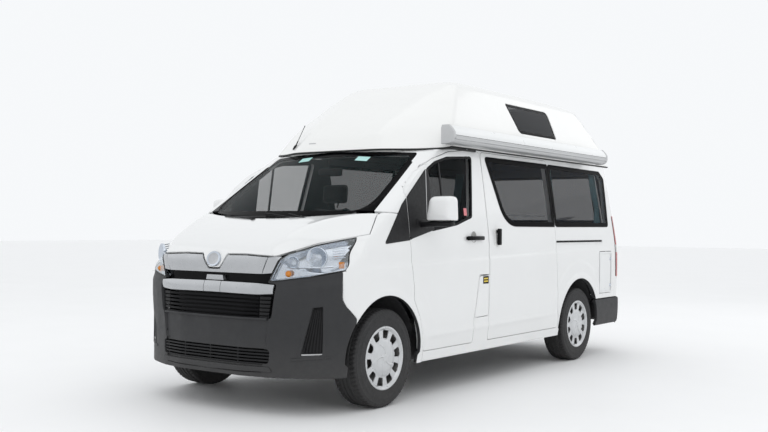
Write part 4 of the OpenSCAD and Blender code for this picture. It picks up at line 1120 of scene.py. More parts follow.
class VAN_OT_front_doors(bpy.types.Operator):
    """Front doors with their window openings"""

    bl_idname = "van.front_doors"
    bl_label = "Front doors"

    def execute(self, context):
        left = door_skin()
        right = mirrored(left)
        piece("door_skin_left", left, mat("paint", "dash"), "front_door_left", ["front_door_left"])
        piece("door_skin_right", right, mat("paint", "dash"), "front_door_right", ["front_door_right"])
        return {"FINISHED"}


class VAN_OT_sliding_door(bpy.types.Operator):
    """Sliding door with its window opening"""

    bl_idname = "van.sliding_door"
    bl_label = "Sliding door"

    def execute(self, context):
        bm = side_skin(SLIDER_Y[0] - 0.02, SLIDER_Y[1] + 0.09)
        trim(bm, offset(SLIDER, -look().seam / 2), "x")
        trim(bm, SLIDER_WINDOW, "x", False)
        tidy(bm)
        thicken(bm, DOOR_D, look().edge, 1)
        piece("slider_skin", bm, mat("paint", "dash"), "body", ["sliding_door"])
        return {"FINISHED"}


# ---- High roof ----
def roof_skin():
    """Left half of the high roof, as rays from its spine meet it."""
    z0 = 1.835
    ya, yb = FRONT_AXLE + 1.45, REAR_AXLE + 0.35
    nose = np.radians(np.linspace(-88, 0, 74))
    body = np.linspace(ya, yb, 62)[1:-1]
    tail = np.radians(np.linspace(0, 88, 44))
    psi = np.concatenate([nose, np.zeros(len(body)), tail])[:, None]
    start = np.concatenate([np.full(len(nose), ya), body, np.full(len(tail), yb)])[:, None]
    theta = np.radians(np.linspace(0, 90, 62))[None, :]
    d = np.stack([np.sin(theta) * np.cos(psi), np.sin(psi) + 0 * theta, np.cos(theta) * np.cos(psi)], -1)
    o = np.stack([0 * psi + 0 * theta, start + 0 * theta, z0 + 0 * psi + 0 * theta], -1)
    p = cast(roof_field, o, d)
    p[:, 0, 0] = 0
    return p


ROOF_GLASS = rounded([(REAR_AXLE - 0.93, roof_up(0.492)), (REAR_AXLE - 0.97, roof_up(0.203)),
    (REAR_AXLE - 0.22, roof_up(0.203)),
                      (REAR_AXLE - 0.08, roof_up(0.492))], 0.04, 6)
ROOF_FOOT = [(FRONT_AXLE + 0.3, 1.896), (FRONT_AXLE + 0.76, 1.896), (FRONT_AXLE + 1.011, ROOF_Z), (3.0, ROOF_Z),
    (3.0, 3.0), (FRONT_AXLE + 0.3, 3.0)]


class VAN_OT_high_roof(bpy.types.Operator):
    """Moulded high roof with its window openings"""

    bl_idname = "van.high_roof"
    bl_label = "High roof"

    def execute(self, context):
        bm = grid_mesh(roof_skin())
        weld(bm)
        face_out(bm, (0, 0.3, 1.9))
        for v in bm.verts:
            # Moulded rim along the foot of the roof
            rim = float(1 - step(v.co.z, 1.93, 1.97))
            v.co.x += 0.004 * rim * (1 if v.co.x > 0.3 else 0)
        trim(bm, rounded(ROOF_FOOT, [0, 0.1, 0.1, 0, 0, 0]), "x")
        trim(bm, ROOF_GLASS, "x", False, lambda c: c.x > 0.3)
        trim(bm, rect(-0.3, REAR_AXLE - 0.06, 0.2, REAR_AXLE + 0.34), "z", False, lambda c: c.z > 2.3)
        tidy(bm)
        mirror_x(bm)
        thicken(bm, SKIN_D, 0.004, 1)
        piece("high_roof_moulding", bm, mat("roof", "dash"), "body", ["high_roof"])
        return {"FINISHED"}


# ---- Rear ----
def rear_skin(half, z0, z1, depth=0.0):
    """Rear face of the body as a lattice, slightly crowned."""
    z, x = np.meshgrid(np.linspace(z0, z1, 90), np.linspace(-half, half, 60), indexing="ij")
    y = tail_y(z) - depth - 0.010 * (x / half) ** 4 + 0.0035 * (step(z, 1.16, 1.185) - 1) * (step(z, 0.7, 0.74))
    bm = grid_mesh(np.stack([x, y, z], -1))
    face_out(bm, (0, 1.0, 1.2))
    return bm


def tail_outline(d=0.0):
    """Tailgate outline from behind."""
    right = [(float(side_x(z)) - 0.138 + d, z) for z in np.linspace(0.574 - d, 1.93 + d, 16)]
    return rounded(right + [(-x, z) for x, z in reversed(right)], [0.03] + [0] * 14 + [0.06, 0.06] + [0] * 14 + [0.03])


TAIL_WINDOW = rounded([(float(side_x(1.34)) - 0.207, 1.34), (float(side_x(1.845)) - 0.192, 1.845),
                       (0.192 - float(side_x(1.845)), 1.845), (0.207 - float(side_x(1.34)), 1.34)], 0.06, 6)


class VAN_OT_tailgate(bpy.types.Operator):
    """Tailgate with its window opening and the bare plate recess"""

    bl_idname = "van.tailgate"
    bl_label = "Tailgate"

    def execute(self, context):
        bm = rear_skin(0.86, 0.56, 1.935)
        trim(bm, tail_outline(-0.002), "y")
        trim(bm, TAIL_WINDOW, "y", False)
        recess = rounded(rect(-0.27, 0.90, 0.27, 1.06), 0.02)
        inner = offset(recess, -0.018)
        scribe(bm, recess, "y")
        scribe(bm, inner, "y")
        tidy(bm)
        for v in bm.verts:
            if inside(offset(recess, -0.009), v.co.x, v.co.z):
                v.co.y -= 0.02
        thicken(bm, GATE_D, look().edge, 1)
        piece("tailgate_skin", bm, mat("paint", "dash"), "tailgate", ["tailgate"])
        return {"FINISHED"}


# ---- Glass ----
PANE = 0.004


def side_pane(outline, depth, width, y0, y1, mirror=False):
    """Pane of side glass with a black border of some width, depth inside the body's skin."""
    lo, hi = min(p[1] for p in outline) - 0.02, max(p[1] for p in outline) + 0.02
    bm = side_skin(y0, y1, lo, hi, 0.02, 0.02)
    for v in bm.verts:
        v.co.x = float(side_x(v.co.z)) - depth
    trim(bm, outline, "x")
    border(bm, rounded(offset(outline, -width), 0.01, 2), "x")
    tidy(bm)
    thicken(bm, PANE, 0)
    return flipped(bm, mirror)


def side_ring(outline, outer, inner, depth, thick, mirror=False):
    """Band that follows an outline on the body side, from outer to inner beyond it."""
    grown, shrunk = offset(outline, outer), offset(outline, inner)
    us = [p[0] for p in grown]
    vs = [p[1] for p in grown]
    bm = side_skin(min(us) - 0.03, max(us) + 0.03, min(vs) - 0.03, max(vs) + 0.03, 0.02, 0.02)
    for v in bm.verts:
        v.co.x = float(side_x(v.co.z)) + depth
    trim(bm, grown, "x")
    trim(bm, shrunk, "x", False)
    tidy(bm)
    thicken(bm, thick, min(0.0015, thick / 3), segments=2)
    return flipped(bm, mirror)


class VAN_OT_side_glass(bpy.types.Operator):
    """Door, sliding door and rear side glass with black borders and seals"""

    bl_idname = "van.side_glass"
    bl_label = "Side glass"

    def execute(self, context):
        for side, flip in (("left", False), ("right", True)):
            body = "front_door_" + side
            bm = side_pane(offset(DOOR_WINDOW, 0.002), 0.016, 0.016, FRONT_AXLE + 0.56, FRONT_AXLE + 1.33, mirror=flip)
            piece("door_pane_" + side, bm, mat("door_tint", "frit"), body, ["door_glass_" + side])
            ring = side_ring(DOOR_WINDOW, 0.010, -0.020, -0.0005, 0.014, flip)
            piece("door_window_seal_" + side, ring, mat("gloss_black"), body)
            # Upright channel that splits off the small fixed pane
            bar = side_ring(rounded(shifted([(0.788, 1.25), (0.788, 1.812), (0.806, 1.817), (0.806, 1.25)],
                FRONT_AXLE), 0.002, 1),
                            0.0, -0.0085, -0.008, 0.01, flip)
            piece("door_window_bar_" + side, bar, mat("black"), body)
        band = rounded([(WIN_FRONT - 0.012, 1.88), (WIN_FRONT + 0.228, 1.293), (SLIDER_Y[1] - 0.0085, 1.293),
            (SLIDER_Y[1] - 0.0275, 1.88)], [0.035, 0.3, 0.02, 0.02], 8)
        bm = side_pane(band, -0.0035, 0.045, SLIDER_Y[0] + 0.02, SLIDER_Y[1] + 0.02)
        piece("slider_pane", bm, mat("side_tint", "frit"), "body", ["sliding_door_glass"])
        rear = offset(REAR_WINDOW, 0.012)
        for side, flip in (("left", False), ("right", True)):
            bm = side_pane(rear, -0.0035, 0.042, SLIDER_Y[1] - 0.06, WIN_REAR + 0.05, mirror=flip)
            if flip:
                join(bm, side_pane(offset(band, 0.001), -0.0035, 0.045, SLIDER_Y[0] + 0.02, SLIDER_Y[1] + 0.02,
                    mirror=True))
            piece("rear_side_pane_" + side, bm, mat("tint" if flip else "side_tint", "frit"), "body",
                ["side_windows"] if flip else [])
        # Slim rail of the sliding vent, seen through the pane
        rail = side_ring(rounded([(SLIDER_Y[0] + 0.36, 1.386), (SLIDER_Y[1] - 0.16, 1.390),
            (SLIDER_Y[1] - 0.16, 1.400), (SLIDER_Y[0] + 0.36, 1.396)], 0.003, 2),
                         0, -0.0057, -0.012, 0.006)
        piece("slider_vent_rail", rail, mat("alloy"), "body")
        return {"FINISHED"}


SCREEN_R, SCREEN_SLOPE = 3.412, math.radians(32.5)
SCREEN_FOOT = np.array([0, FRONT_AXLE - 0.25, 1.345])


def screen_point(x, s, depth=0.0):
    """Point of the windscreen's drum: x across, s up its slope from the foot."""
    r = SCREEN_R - depth
    along = np.array([0, math.cos(SCREEN_SLOPE), math.sin(SCREEN_SLOPE)])
    out = np.array([0, -math.sin(SCREEN_SLOPE), math.cos(SCREEN_SLOPE)])
    a = np.arcsin(np.clip(x / r, -1, 1))
    base = SCREEN_FOOT - out * SCREEN_R
    return base + s[..., None] * along + (r * np.cos(a))[..., None] * out + x[..., None] * np.array([1.0, 0, 0])


def screen_skin(depth=0.0, half=0.93, s0=-0.35, s1=1.25, cell=0.022):
    """Drum surface of the windscreen as a lattice."""
    rows, cols = int((s1 - s0) / cell) + 1, int(2 * half / cell) + 1
    s, x = np.meshgrid(np.linspace(s0, s1, rows), np.linspace(-half, half, cols), indexing="ij")
    bm = grid_mesh(screen_point(x, s, depth))
    face_out(bm, (0, FRONT_AXLE + 1.0, 0.8))
    return bm


def screen_outline(g=0.0):
    """Windscreen outline from the front."""
    half = [(0.0, 1.358 - g), (0.485, 1.368 - g), (0.808 + g, 1.392 - g), (0.742 + g, 1.880 + g), (0.37, 1.892 + g),
        (0.0, 1.896 + g)]
    full = half + [(-x, z) for x, z in reversed(half[1:-1])]
    return rounded(full, [0.5, 0.5, 0.15, 0.04, 0.5, 0.5, 0.5, 0.04, 0.15, 0.5], 8)


CAB_TOP = Field([(-3.0, 0.9), (FRONT_AXLE - 0.3, 0.9), (FRONT_AXLE - 0.3, 1.372), (FRONT_AXLE + 0.1, 1.6),
    (FRONT_AXLE + 0.33, 1.9),
                 (FRONT_AXLE + 0.5, 1.895), (FRONT_AXLE + 0.76, 1.894), (FRONT_AXLE + 1.01, 1.935), (0.4, 1.935),
                 (0.4, 0.9)][1:],
                (-2.3, 1.0), (-0.5, 2.1), 0.01)


def cab_field(p):
    """Distance outside the cab's upper shell."""
    x, y, z = p[..., 0], p[..., 1], p[..., 2]
    out = np.array([0, -math.sin(SCREEN_SLOPE), math.cos(SCREEN_SLOPE)])
    d = p - (SCREEN_FOOT - out * SCREEN_R)
    drum = np.hypot(x, d[..., 1] * out[1] + d[..., 2] * out[2]) - SCREEN_R
    return soft_max([CAB_TOP(y, z), drum, np.abs(x) - side_x(z)], 0.035)


class VAN_OT_cab_frame(bpy.types.Operator):
    """Windscreen pillars, header and scuttle"""

    bl_idname = "van.cab_frame"
    bl_label = "Cab frame"

    def execute(self, context):
        centre = np.array([0, FRONT_AXLE + 1.15, 1.25])
        swing = np.radians(np.linspace(0, 90, 96))[None, :]
        turn = np.radians(np.linspace(-6, 100, 120))[:, None]
        d = np.stack([np.sin(swing) + 0 * turn, -np.cos(swing) * np.cos(turn), np.cos(swing) * np.sin(turn)], -1)
        p = cast(cab_field, np.broadcast_to(centre, d.shape), d)
        p[:, 0, 0] = 0
        bm = grid_mesh(p)
        weld(bm)
        face_out(bm, centre)
        drop(bm, lambda c: c.y > FRONT_AXLE + 1.08 or c.z < 1.15)
        trim(bm, offset(DOOR, look().seam / 2), "x", False, lambda c: c.x > side_x(c.z) - 0.05)
        trim(bm, screen_outline(-0.010), "y", False, lambda c: c.y < FRONT_AXLE + 0.9)
        trim(bm, [(-3, 1.5), (FRONT_AXLE + 0.283, 1.374), (-3, 1.33), (-3, 0.5), (0.5, 0.5), (0.5, 2.5), (-3, 2.5)],
            "x")
        top = bonnet_top(-0.004)
        scribe(bm, top, "z")
        drop(bm, lambda c: (inside(top, c.x, c.y) and c.x < 0.86 and c.z < 1.5)
            or (c.y < FRONT_AXLE + 0.283 and c.z < 1.372 and c.x > 0.75)
             or (c.z < 1.18) or c.y > FRONT_AXLE + 1.01)
        cap = [(-0.84, 1.30), (0.84, 1.30), (0.79, 1.62), (0.735, 1.93), (-0.735, 1.93), (-0.79, 1.62)]
        scribe(bm, cap, "y")
        tidy(bm)
        mirror_x(bm)
        thicken(bm, CAB_D, look().edge, 1)
        for f in bm.faces:
            c = f.calc_center_median()
            if f.material_index == 0 and inside(cap, c.x, c.z) and c.y < FRONT_AXLE + 0.6:
                f.material_index = 2
        piece("cab_frame_shell", bm, mat("paint", "trim", "frit"), "body", ["windscreen_frame"])
        return {"FINISHED"}


class VAN_OT_windscreen(bpy.types.Operator):
    """Windscreen with its black border, two plain labels, wipers and inner mirror"""

    bl_idname = "van.windscreen"
    bl_label = "Windscreen"

    def execute(self, context):
        bm = screen_skin(0.004)
        trim(bm, screen_outline(), "y")
        drop(bm, lambda c: c.y > FRONT_AXLE + 1.2)
        clear = [(-0.765, 1.396), (0.765, 1.396), (0.70, 1.846), (-0.70, 1.846)]
        border(bm, rounded(clear, [0.11, 0.11, 0.05, 0.05], 6), "y")
        tidy(bm)
        thicken(bm, 0.005, 0)
        piece("windscreen_pane", bm, mat("pane", "frit"), "body", ["windscreen"])
        for n, (x, s, w, h) in enumerate([(-0.27, 0.930, 0.06, 0.033), (0.327, 0.918, 0.055, 0.033)]):
            label = screen_skin(0.0035, 0.93, s - h, s + h, h / 2)
            drop(label, lambda c: abs(c.x - x) > w)
            thicken(label, 0.0006, 0)
            piece("screen_label_%d" % (n + 1), label, mat("teal"), "body")
        for n, (x0, s0, x1, s1) in enumerate([(0.62, -0.055, -0.02, 0.035), (-0.06, -0.055, -0.66, 0.03)]):
            t = np.linspace(0, 1, 12)
            arm = screen_point(x0 + (x1 - x0) * t * 0.62, s0 + (s1 - s0) * t ** 0.8, -0.018)
            blade = screen_point(np.linspace(x0 - 0.10 * np.sign(x0 - x1), x1, 14),
                s0 + 0.012 + (s1 - s0) * np.linspace(0.12, 1, 14), -0.008)
            wiper = tube_mesh([tuple(p) for p in arm], 0.0065, 8)
            join(wiper, tube_mesh([tuple(p) for p in blade], 0.0055, 8))
            hub = screen_point(np.array([x0]), np.array([s0]), -0.012)[0]
            join(wiper, cylinder_mesh(0.017, 0.03, 20, 0.003, Matrix.Translation(hub)))
            piece("wiper_%d" % (n + 1), wiper, mat("black"), "body")
        mirror = rounded_block((-0.12, -0.012, -0.034), (0.12, 0.016, 0.034), 0.014, 3)
        at = screen_point(np.array([0.0]), np.array([0.86]), 0.10)[0]
        bmesh.ops.translate(mirror, vec=at, verts=mirror.verts[:])
        join(mirror, tube_mesh([tuple(at), tuple(at + np.array([0, -0.01, 0.05])),
            tuple(screen_point(np.array([0.0]), np.array([0.9]), 0.012)[0])], 0.008, 8))
        piece("inner_mirror", mirror, mat("black"), "body")
        return {"FINISHED"}


# ---- Nose ----
def nose_y(x, z):
    """Place of the nose's skin straight ahead of a point."""
    x, z = np.broadcast_arrays(np.asarray(x, float), np.asarray(z, float))
    o = np.stack([x, np.full_like(x, FRONT_AXLE), z], -1)
    d = np.broadcast_to(np.array([0, -1.0, 0]), o.shape)
    return cast(nose_field, o, d)[..., 1]


def front_patch(outline, recess, depth, edge=0.002, cell=0.014, index=0, bulge=0.0):
    """Panel on the front face with a given outline, set back from the skin; both halves when it crosses the middle."""
    xs, zs = [p[0] for p in outline], [p[1] for p in outline]
    cols = max(2, int((max(xs) - min(xs)) / cell) + 2)
    rows = max(2, int((max(zs) - min(zs)) / cell) + 2)
    z, x = np.meshgrid(np.linspace(min(zs) - 1e-4, max(zs) + 1e-4, rows),
        np.linspace(min(xs) - 1e-4, max(xs) + 1e-4, cols), indexing="ij")
    span = (z - min(zs)) / (max(zs) - min(zs))
    bm = grid_mesh(np.stack([x, nose_y(x, z) + recess - bulge * np.sin(np.pi * np.clip(span, 0, 1)), z], -1))
    face_out(bm, (0, FRONT_AXLE, (min(zs) + max(zs)) / 2))
    trim(bm, outline, "y")
    tidy(bm)
    thicken(bm, depth, edge, segments=2)
    return reindex(bm, index)


def reindex_up(bm, low, high):
    """Moves a two-material part onto two other slots."""
    for f in bm.faces:
        f.material_index = high if f.material_index else low
    return bm


def full(half, radius=0.0):
    """Closed outline from its left half, listed from the middle's top to the middle's bottom."""
    right = [(-x, z) for x, z in reversed(half)]
    return rounded(half + right, radius, 3) if radius else half + right


class VAN_OT_grille(bpy.types.Operator):
    """Grille: silver upper panel and bar, black slats, end facets and a bare round badge"""

    bl_idname = "van.grille"
    bl_label = "Grille"

    def execute(self, context):
        back = front_patch(full([(0.001, 1.088), (0.30, 1.085), (0.585, 1.083), (0.496, 0.90), (0.556, 0.89),
            (0.522, 0.652), (0.001, 0.652)]), 0.045, 0.012, 0)
        reindex(back, 1)
        upper = front_patch(full([(0.001, 0.979), (0.056, 0.981), (0.092, 1.026), (0.126, 1.079), (0.30, 1.081),
            (0.500, 1.072), (0.452, 0.957), (0.001, 0.957)], 0.003), 0.004, 0.03, 0.003, bulge=0.006)
        facet = front_patch(rounded([(0.503, 1.072), (0.582, 1.078), (0.529, 0.965), (0.455, 0.957)], 0.004), 0.002,
            0.03, 0.003)
        bar = front_patch(full([(0.001, 0.899), (0.425, 0.896), (0.553, 0.888), (0.543, 0.824), (0.43, 0.817),
            (0.001, 0.82)], 0.005), -0.002, 0.035, 0.004, bulge=0.010)
        for x in (-0.082, 0.082):
            scribe(bar, rounded(rect(x - 0.0018, 0.78, x + 0.0018, 0.93), 0.0002, 1), "y")
        for f in bar.faces:
            c = f.calc_center_median()
            if abs(abs(c.x) - 0.082) < 0.0019 or (abs(c.x) > 0.43 and 0.8 * (abs(c.x) - 0.43) < 0.0016):
                f.material_index = 1
        tab = front_patch(full([(0.001, 0.938), (0.078, 0.938), (0.086, 0.902), (0.001, 0.902)], 0.003), 0.012, 0.03,
            0.002)
        for part in (upper, both(facet), tab):
            join(bar, part)
        for n in range(6):
            z = 0.795 - 0.0265 * n
            end = 0.437 - 0.0006 * n
            slat = front_patch(rect(-end, z - 0.0075, end, z + 0.0075), 0.006, 0.03, 0.002, 0.02, 1)
            join(bar, slat)
            side = front_patch([(end + 0.006, z - 0.010), (0.524 - 0.004 * n * 0.8, z - 0.010),
                (0.528 - 0.004 * n * 0.8, z + 0.010), (end + 0.006, z + 0.010)], 0.004, 0.03, 0.002, 0.02, 2)
            join(bar, both(side))
        ledge = front_patch(full([(0.001, 0.662), (0.505, 0.662), (0.503, 0.648), (0.001, 0.648)]), -0.008, 0.03,
            0.003, 0.014, 3)
        join(bar, ledge)
        join(bar, back)
        piece("grille_panels", bar, mat("silver", "gloss_black", "black", "bumper"), "body", ["grille"])
        # Bare badge: a plain disc in a bright ring
        rim = turned([(-0.004, 0.0), (0.006, 0.0), (0.0075, 0.02), (0.006, 0.044), (0.008, 0.048), (0.0085, 0.054),
            (0.005, 0.058), (-0.004, 0.058)], 48, (0, -1, 0))
        for f in rim.faces:
            c = f.calc_center_median()
            f.material_index = 0 if math.hypot(c.x, c.z) > 0.045 else 1
        placed(rim, Matrix.Translation((0, float(nose_y(0, 1.05)) - 0.004, 1.05)) @ Matrix.Rotation(math.radians(-12),
            4, "X") @ Matrix.Diagonal((1.14, 1, 0.94, 1)))
        piece("grille_badge", rim, mat("chrome", "silver"), "body")
        # Lower intake: slats in front of a dark back
        lower = front_patch(full([(0.001, 0.46), (0.528, 0.46), (0.52, 0.345), (0.001, 0.345)]), 0.05, 0.01, 0)
        for n in range(5):
            z = 0.437 - 0.0215 * n
            join(lower, front_patch(rect(-0.515, z - 0.006, 0.515, z + 0.006), 0.008, 0.04, 0.002, 0.02))
        for x in (-0.26, 0.0, 0.26):
            join(lower, front_patch(rect(x - 0.006, 0.347, x + 0.006, 0.457), 0.016, 0.03, 0.001))
        piece("lower_intake", lower, mat("black"), "body")
        lip = front_patch(full([(0.001, 0.333), (0.52, 0.333), (0.545, 0.300), (0.001, 0.292)], 0.01), -0.008, 0.03,
            0.004)
        piece("bumper_lip", lip, mat("bumper"), "body")
        return {"FINISHED"}


VENT = rounded([(0.782, 0.742), (0.846, 0.752), (0.842, 0.417), (0.712, 0.41)], 0.014)


class VAN_OT_bumper_vents(bpy.types.Operator):
    """Ribbed vents at the bumper's corners, with their borders and ledges"""

    bl_idname = "van.bumper_vents"
    bl_label = "Bumper vents"

    def execute(self, context):
        ribs = front_patch(offset(VENT, 0.002), 0.028, 0.01, 0)
        for n in range(6):
            x0, x1 = 0.729 + 0.0185 * n, 0.788 + 0.0085 * n
            join(ribs, front_patch([(x0 - 0.004, 0.43), (x0 + 0.004, 0.43), (x1 + 0.003, 0.728), (x1 - 0.003, 0.728)],
                0.010, 0.02, 0.001, 0.02))
        pale = front_patch(rounded([(0.716, 0.425), (0.838, 0.43), (0.838, 0.420), (0.716, 0.413)], 0.002, 2), 0.004,
            0.012, 0.001, 0.02, 1)
        join(ribs, pale)
        frame_ring = front_patch(offset(VENT, 0.012), -0.005, 0.014, 0.003)
        trim(frame_ring, offset(VENT, -0.003), "y", False)
        piece("vent_borders", both(frame_ring), mat("bumper"), "body")
        piece("vent_ribs", both(ribs), mat("black", "alloy"), "body")
        lip = front_patch(rounded([(0.66, 0.396), (0.885, 0.412), (0.885, 0.398), (0.66, 0.378)], 0.004, 2), -0.006,
            0.02, 0.003, 0.02)
        piece("vent_ledges", both(lip), mat("bumper"), "body")
        return {"FINISHED"}


def lamp_skin(shrink):
    """Left headlight's skin on the nose."""
    bm = nose_mesh()
    drop(bm, lambda c: c.z < 0.86 or c.z > 1.28 or c.x < 0.45 or c.y > NOSE_Y + 0.7)
    trim(bm, offset(LAMP, -shrink), "y")
    trim(bm, offset(LAMP_SIDE, -shrink), "x")
    trim(bm, bonnet_front(0.002), "y", False)
    tidy(bm)
    bm.normal_update()
    return bm


def reflector(centre, radius, aim, depth):
    """Bright bowl with a rim and a lens in the middle."""
    profile = [(-depth, 0.0), (-depth, radius * 0.32), (-depth * 0.8, radius * 0.5), (-depth * 0.4, radius * 0.78),
        (0, radius * 0.97), (0.003, radius * 1.02),
               (0.001, radius * 1.09), (-0.012, radius * 1.1)]
    bowl = turned(profile, 40, aim, centre)
    ball = turned([(-depth - 0.001, 0.0), (-depth - 0.001, radius * 0.42), (-depth * 0.72, radius * 0.42),
        (-depth * 0.5, radius * 0.36), (-depth * 0.3, radius * 0.22),
                   (-depth * 0.24, 0.0)], 32, aim, centre)
    return join(bowl, reindex(ball, 1))


class VAN_OT_headlights(bpy.types.Operator):
    """Headlights: clear covers over bright bowls, amber corner bulbs and ribbed housings"""

    bl_idname = "van.headlights"
    bl_label = "Headlights"

    def execute(self, context):
        cover = lamp_skin(0.002)
        thicken(cover, 0.003, 0.001)
        piece("headlight_covers", both(cover), mat("lens"), "body", ["headlights"])
        tub = lamp_skin(0.003)
        normals = {v: v.normal.copy() for v in tub.verts}
        home = {v: v.co.copy() for v in tub.verts}
        for v in tub.verts:
            v.co = v.co - normals[v] * 0.052
        rim = [e for e in tub.edges if e.is_boundary]
        grown = bmesh.ops.extrude_edge_only(tub, edges=rim)
        for v in grown["geom"]:
            if isinstance(v, bmesh.types.BMVert):
                near = min(home, key=lambda q: (q.co - v.co).length_squared)
                v.co = home[near] - normals[near] * 0.003
        bmesh.ops.recalc_face_normals(tub, faces=tub.faces[:])
        for f in tub.faces:
            c = f.calc_center_median()
            f.material_index = 0 if c.x > 0.84 and c.z > 1.03 else 1
        thicken(tub, 0.003, 0)
        aim = Vector((0.42, -0.9, 0.05))
        join(tub, reindex_up(reflector((0.645, NOSE_Y + 0.150, 1.036), 0.040, aim, 0.03), 1, 2))
        join(tub, reindex_up(reflector((0.775, NOSE_Y + 0.245, 1.072), 0.066, aim, 0.042), 1, 2))
        for n in range(5):
            z = 1.064 + 0.016 * n
            rib = tube_mesh([(0.846, NOSE_Y + 0.33, z), (0.868, NOSE_Y + 0.375, z + 0.004),
                (0.884, NOSE_Y + 0.42, z + 0.008)], 0.004, 8, smooth=False)
            join(tub, reindex(rib, 1))
        bar = tube_mesh([(0.60, NOSE_Y + 0.14, 1.005), (0.70, NOSE_Y + 0.18, 1.0), (0.80, NOSE_Y + 0.245, 1.0),
            (0.86, NOSE_Y + 0.315, 1.012)], 0.006, 8)
        join(tub, reindex(bar, 1))
        bulb = turned([(-0.034, 0.0), (-0.03, 0.012), (-0.014, 0.021), (0.006, 0.023), (0.024, 0.018), (0.033, 0.008),
            (0.035, 0.0)], 28, (0.5, -0.86, 0),
                      (0.628, NOSE_Y + 0.128, 0.962))
        join(tub, reindex(bulb, 3))
        patch = rounded_block((-0.02, -0.006, -0.022), (0.02, 0.006, 0.022), 0.004)
        placed(patch, Matrix.Translation((0.889, NOSE_Y + 0.37, 1.02)) @ Matrix.Rotation(math.radians(62), 4, "Z"))
        join(tub, reindex(patch, 3))
        piece("headlight_housings", both(tub), mat("gloss_black", "chrome", "lens", "amber"), "body")
        seal = lamp_skin(0.0)
        trim(seal, offset(LAMP, -0.007), "y", False)
        tidy(seal)
        thicken(seal, 0.008, 0.001)
        piece("headlight_seals", both(seal), mat("rubber"), "body")
        return {"FINISHED"}


# ---- Wheels ----
TYRE_R, COVER_R = 0.352, 0.228
TYRE_STEPS, COVER_STEPS = 264, 240
OPENINGS, RIBS, NUTS = 10, 5, 6
TYRE_PROFILE = [(-0.092, 0.207), (-0.100, 0.214), (-0.1035, 0.222), (-0.1045, 0.235), (-0.1062, 0.243),
    (-0.1058, 0.262), (-0.1065, 0.280), (-0.1072, 0.284), (-0.1058, 0.289),
                (-0.1045, 0.305), (-0.1035, 0.318), (-0.1045, 0.322), (-0.1005, 0.332), (-0.0965, 0.341),
                (-0.088, 0.3475)]


def tyre_mesh():
    """Tyre with ringed sidewalls, shoulder blocks and a grooved tread, spun round the X axis at the origin."""
    crown = [(x, TYRE_R - 0.0045 * (x / 0.088) ** 2) for x in np.linspace(-0.088, 0.088, 45)[1:-1]]
    outer = TYRE_PROFILE + crown + [(-x, r) for x, r in reversed(TYRE_PROFILE)]
    ring = np.array(outer + [(0.085, 0.203), (0.06, 0.2), (-0.06, 0.2), (-0.085, 0.203)])
    turn = np.linspace(0, 2 * math.pi, TYRE_STEPS, endpoint=False)
    x = np.broadcast_to(ring[None, :, 0], (TYRE_STEPS, len(ring))).copy()
    r = np.broadcast_to(ring[None, :, 1], (TYRE_STEPS, len(ring))).copy()
    tread = r > 0.3455
    groove = np.zeros_like(r)
    for at in (-0.052, -0.018, 0.018, 0.052):
        groove = np.maximum(groove, np.clip(1.6 - np.abs(x - at) / 0.0034, 0, 1))
    lug = 0.5 + 0.5 * np.sin(turn[:, None] * 66 + x * 55)
    cut = np.clip((lug - 0.70) * 6, 0, 1) * (np.abs(x) > 0.058)
    fine = 0.5 + 0.5 * np.sin(turn[:, None] * 132 - x * 90)
    sipe = np.clip((fine - 0.86) * 8, 0, 1) * (np.abs(x) < 0.05) * 0.6
    r -= 0.0075 * np.where(tread, np.maximum(np.maximum(groove, cut), sipe), 0)
    shoulder = (r > 0.329) & ~tread
    r -= np.where(shoulder, 0.0028 * np.clip((lug - 0.70) * 6, 0, 1), 0)
    points = np.stack([x, r * np.cos(turn)[:, None], r * np.sin(turn)[:, None]], -1)
    bm = bmesh.new()
    rows = [[bm.verts.new(p) for p in row] for row in points.tolist()]
    quads(bm, rows + rows[:1])
    bmesh.ops.recalc_face_normals(bm, faces=bm.faces[:])
    return bm


def cover_height(r, turn):
    """How far the wheel cover stands out of the tyre's middle plane."""
    h = np.interp(r, [0, 0.022, 0.030, 0.05, 0.09, 0.118, 0.130, 0.138, 0.198, 0.206, 0.214, 0.224, 0.2285],
                  [0.1165, 0.1165, 0.1105, 0.110, 0.1065, 0.099, 0.092, 0.0895, 0.0895, 0.099, 0.1085, 0.1075, 0.1015])
    for k in range(RIBS):
        lean = (turn - 2 * math.pi * k / RIBS - 7.0 * np.clip(r - 0.02, 0, 1) + math.pi) % (2 * math.pi) - math.pi
        off = np.abs(lean) * r
        h = h + 0.0052 * np.exp(-((off / 0.0055) ** 2)) * np.clip((r - 0.022) / 0.01, 0,
            1) * np.clip((0.136 - r) / 0.02, 0, 1)
    spoke = np.abs((turn * OPENINGS / (2 * math.pi)) % 1 - 0.5) * 2
    return h + 0.005 * np.clip((spoke - 0.55) / 0.3, 0, 1) * ((r > 0.134) & (r < 0.203))


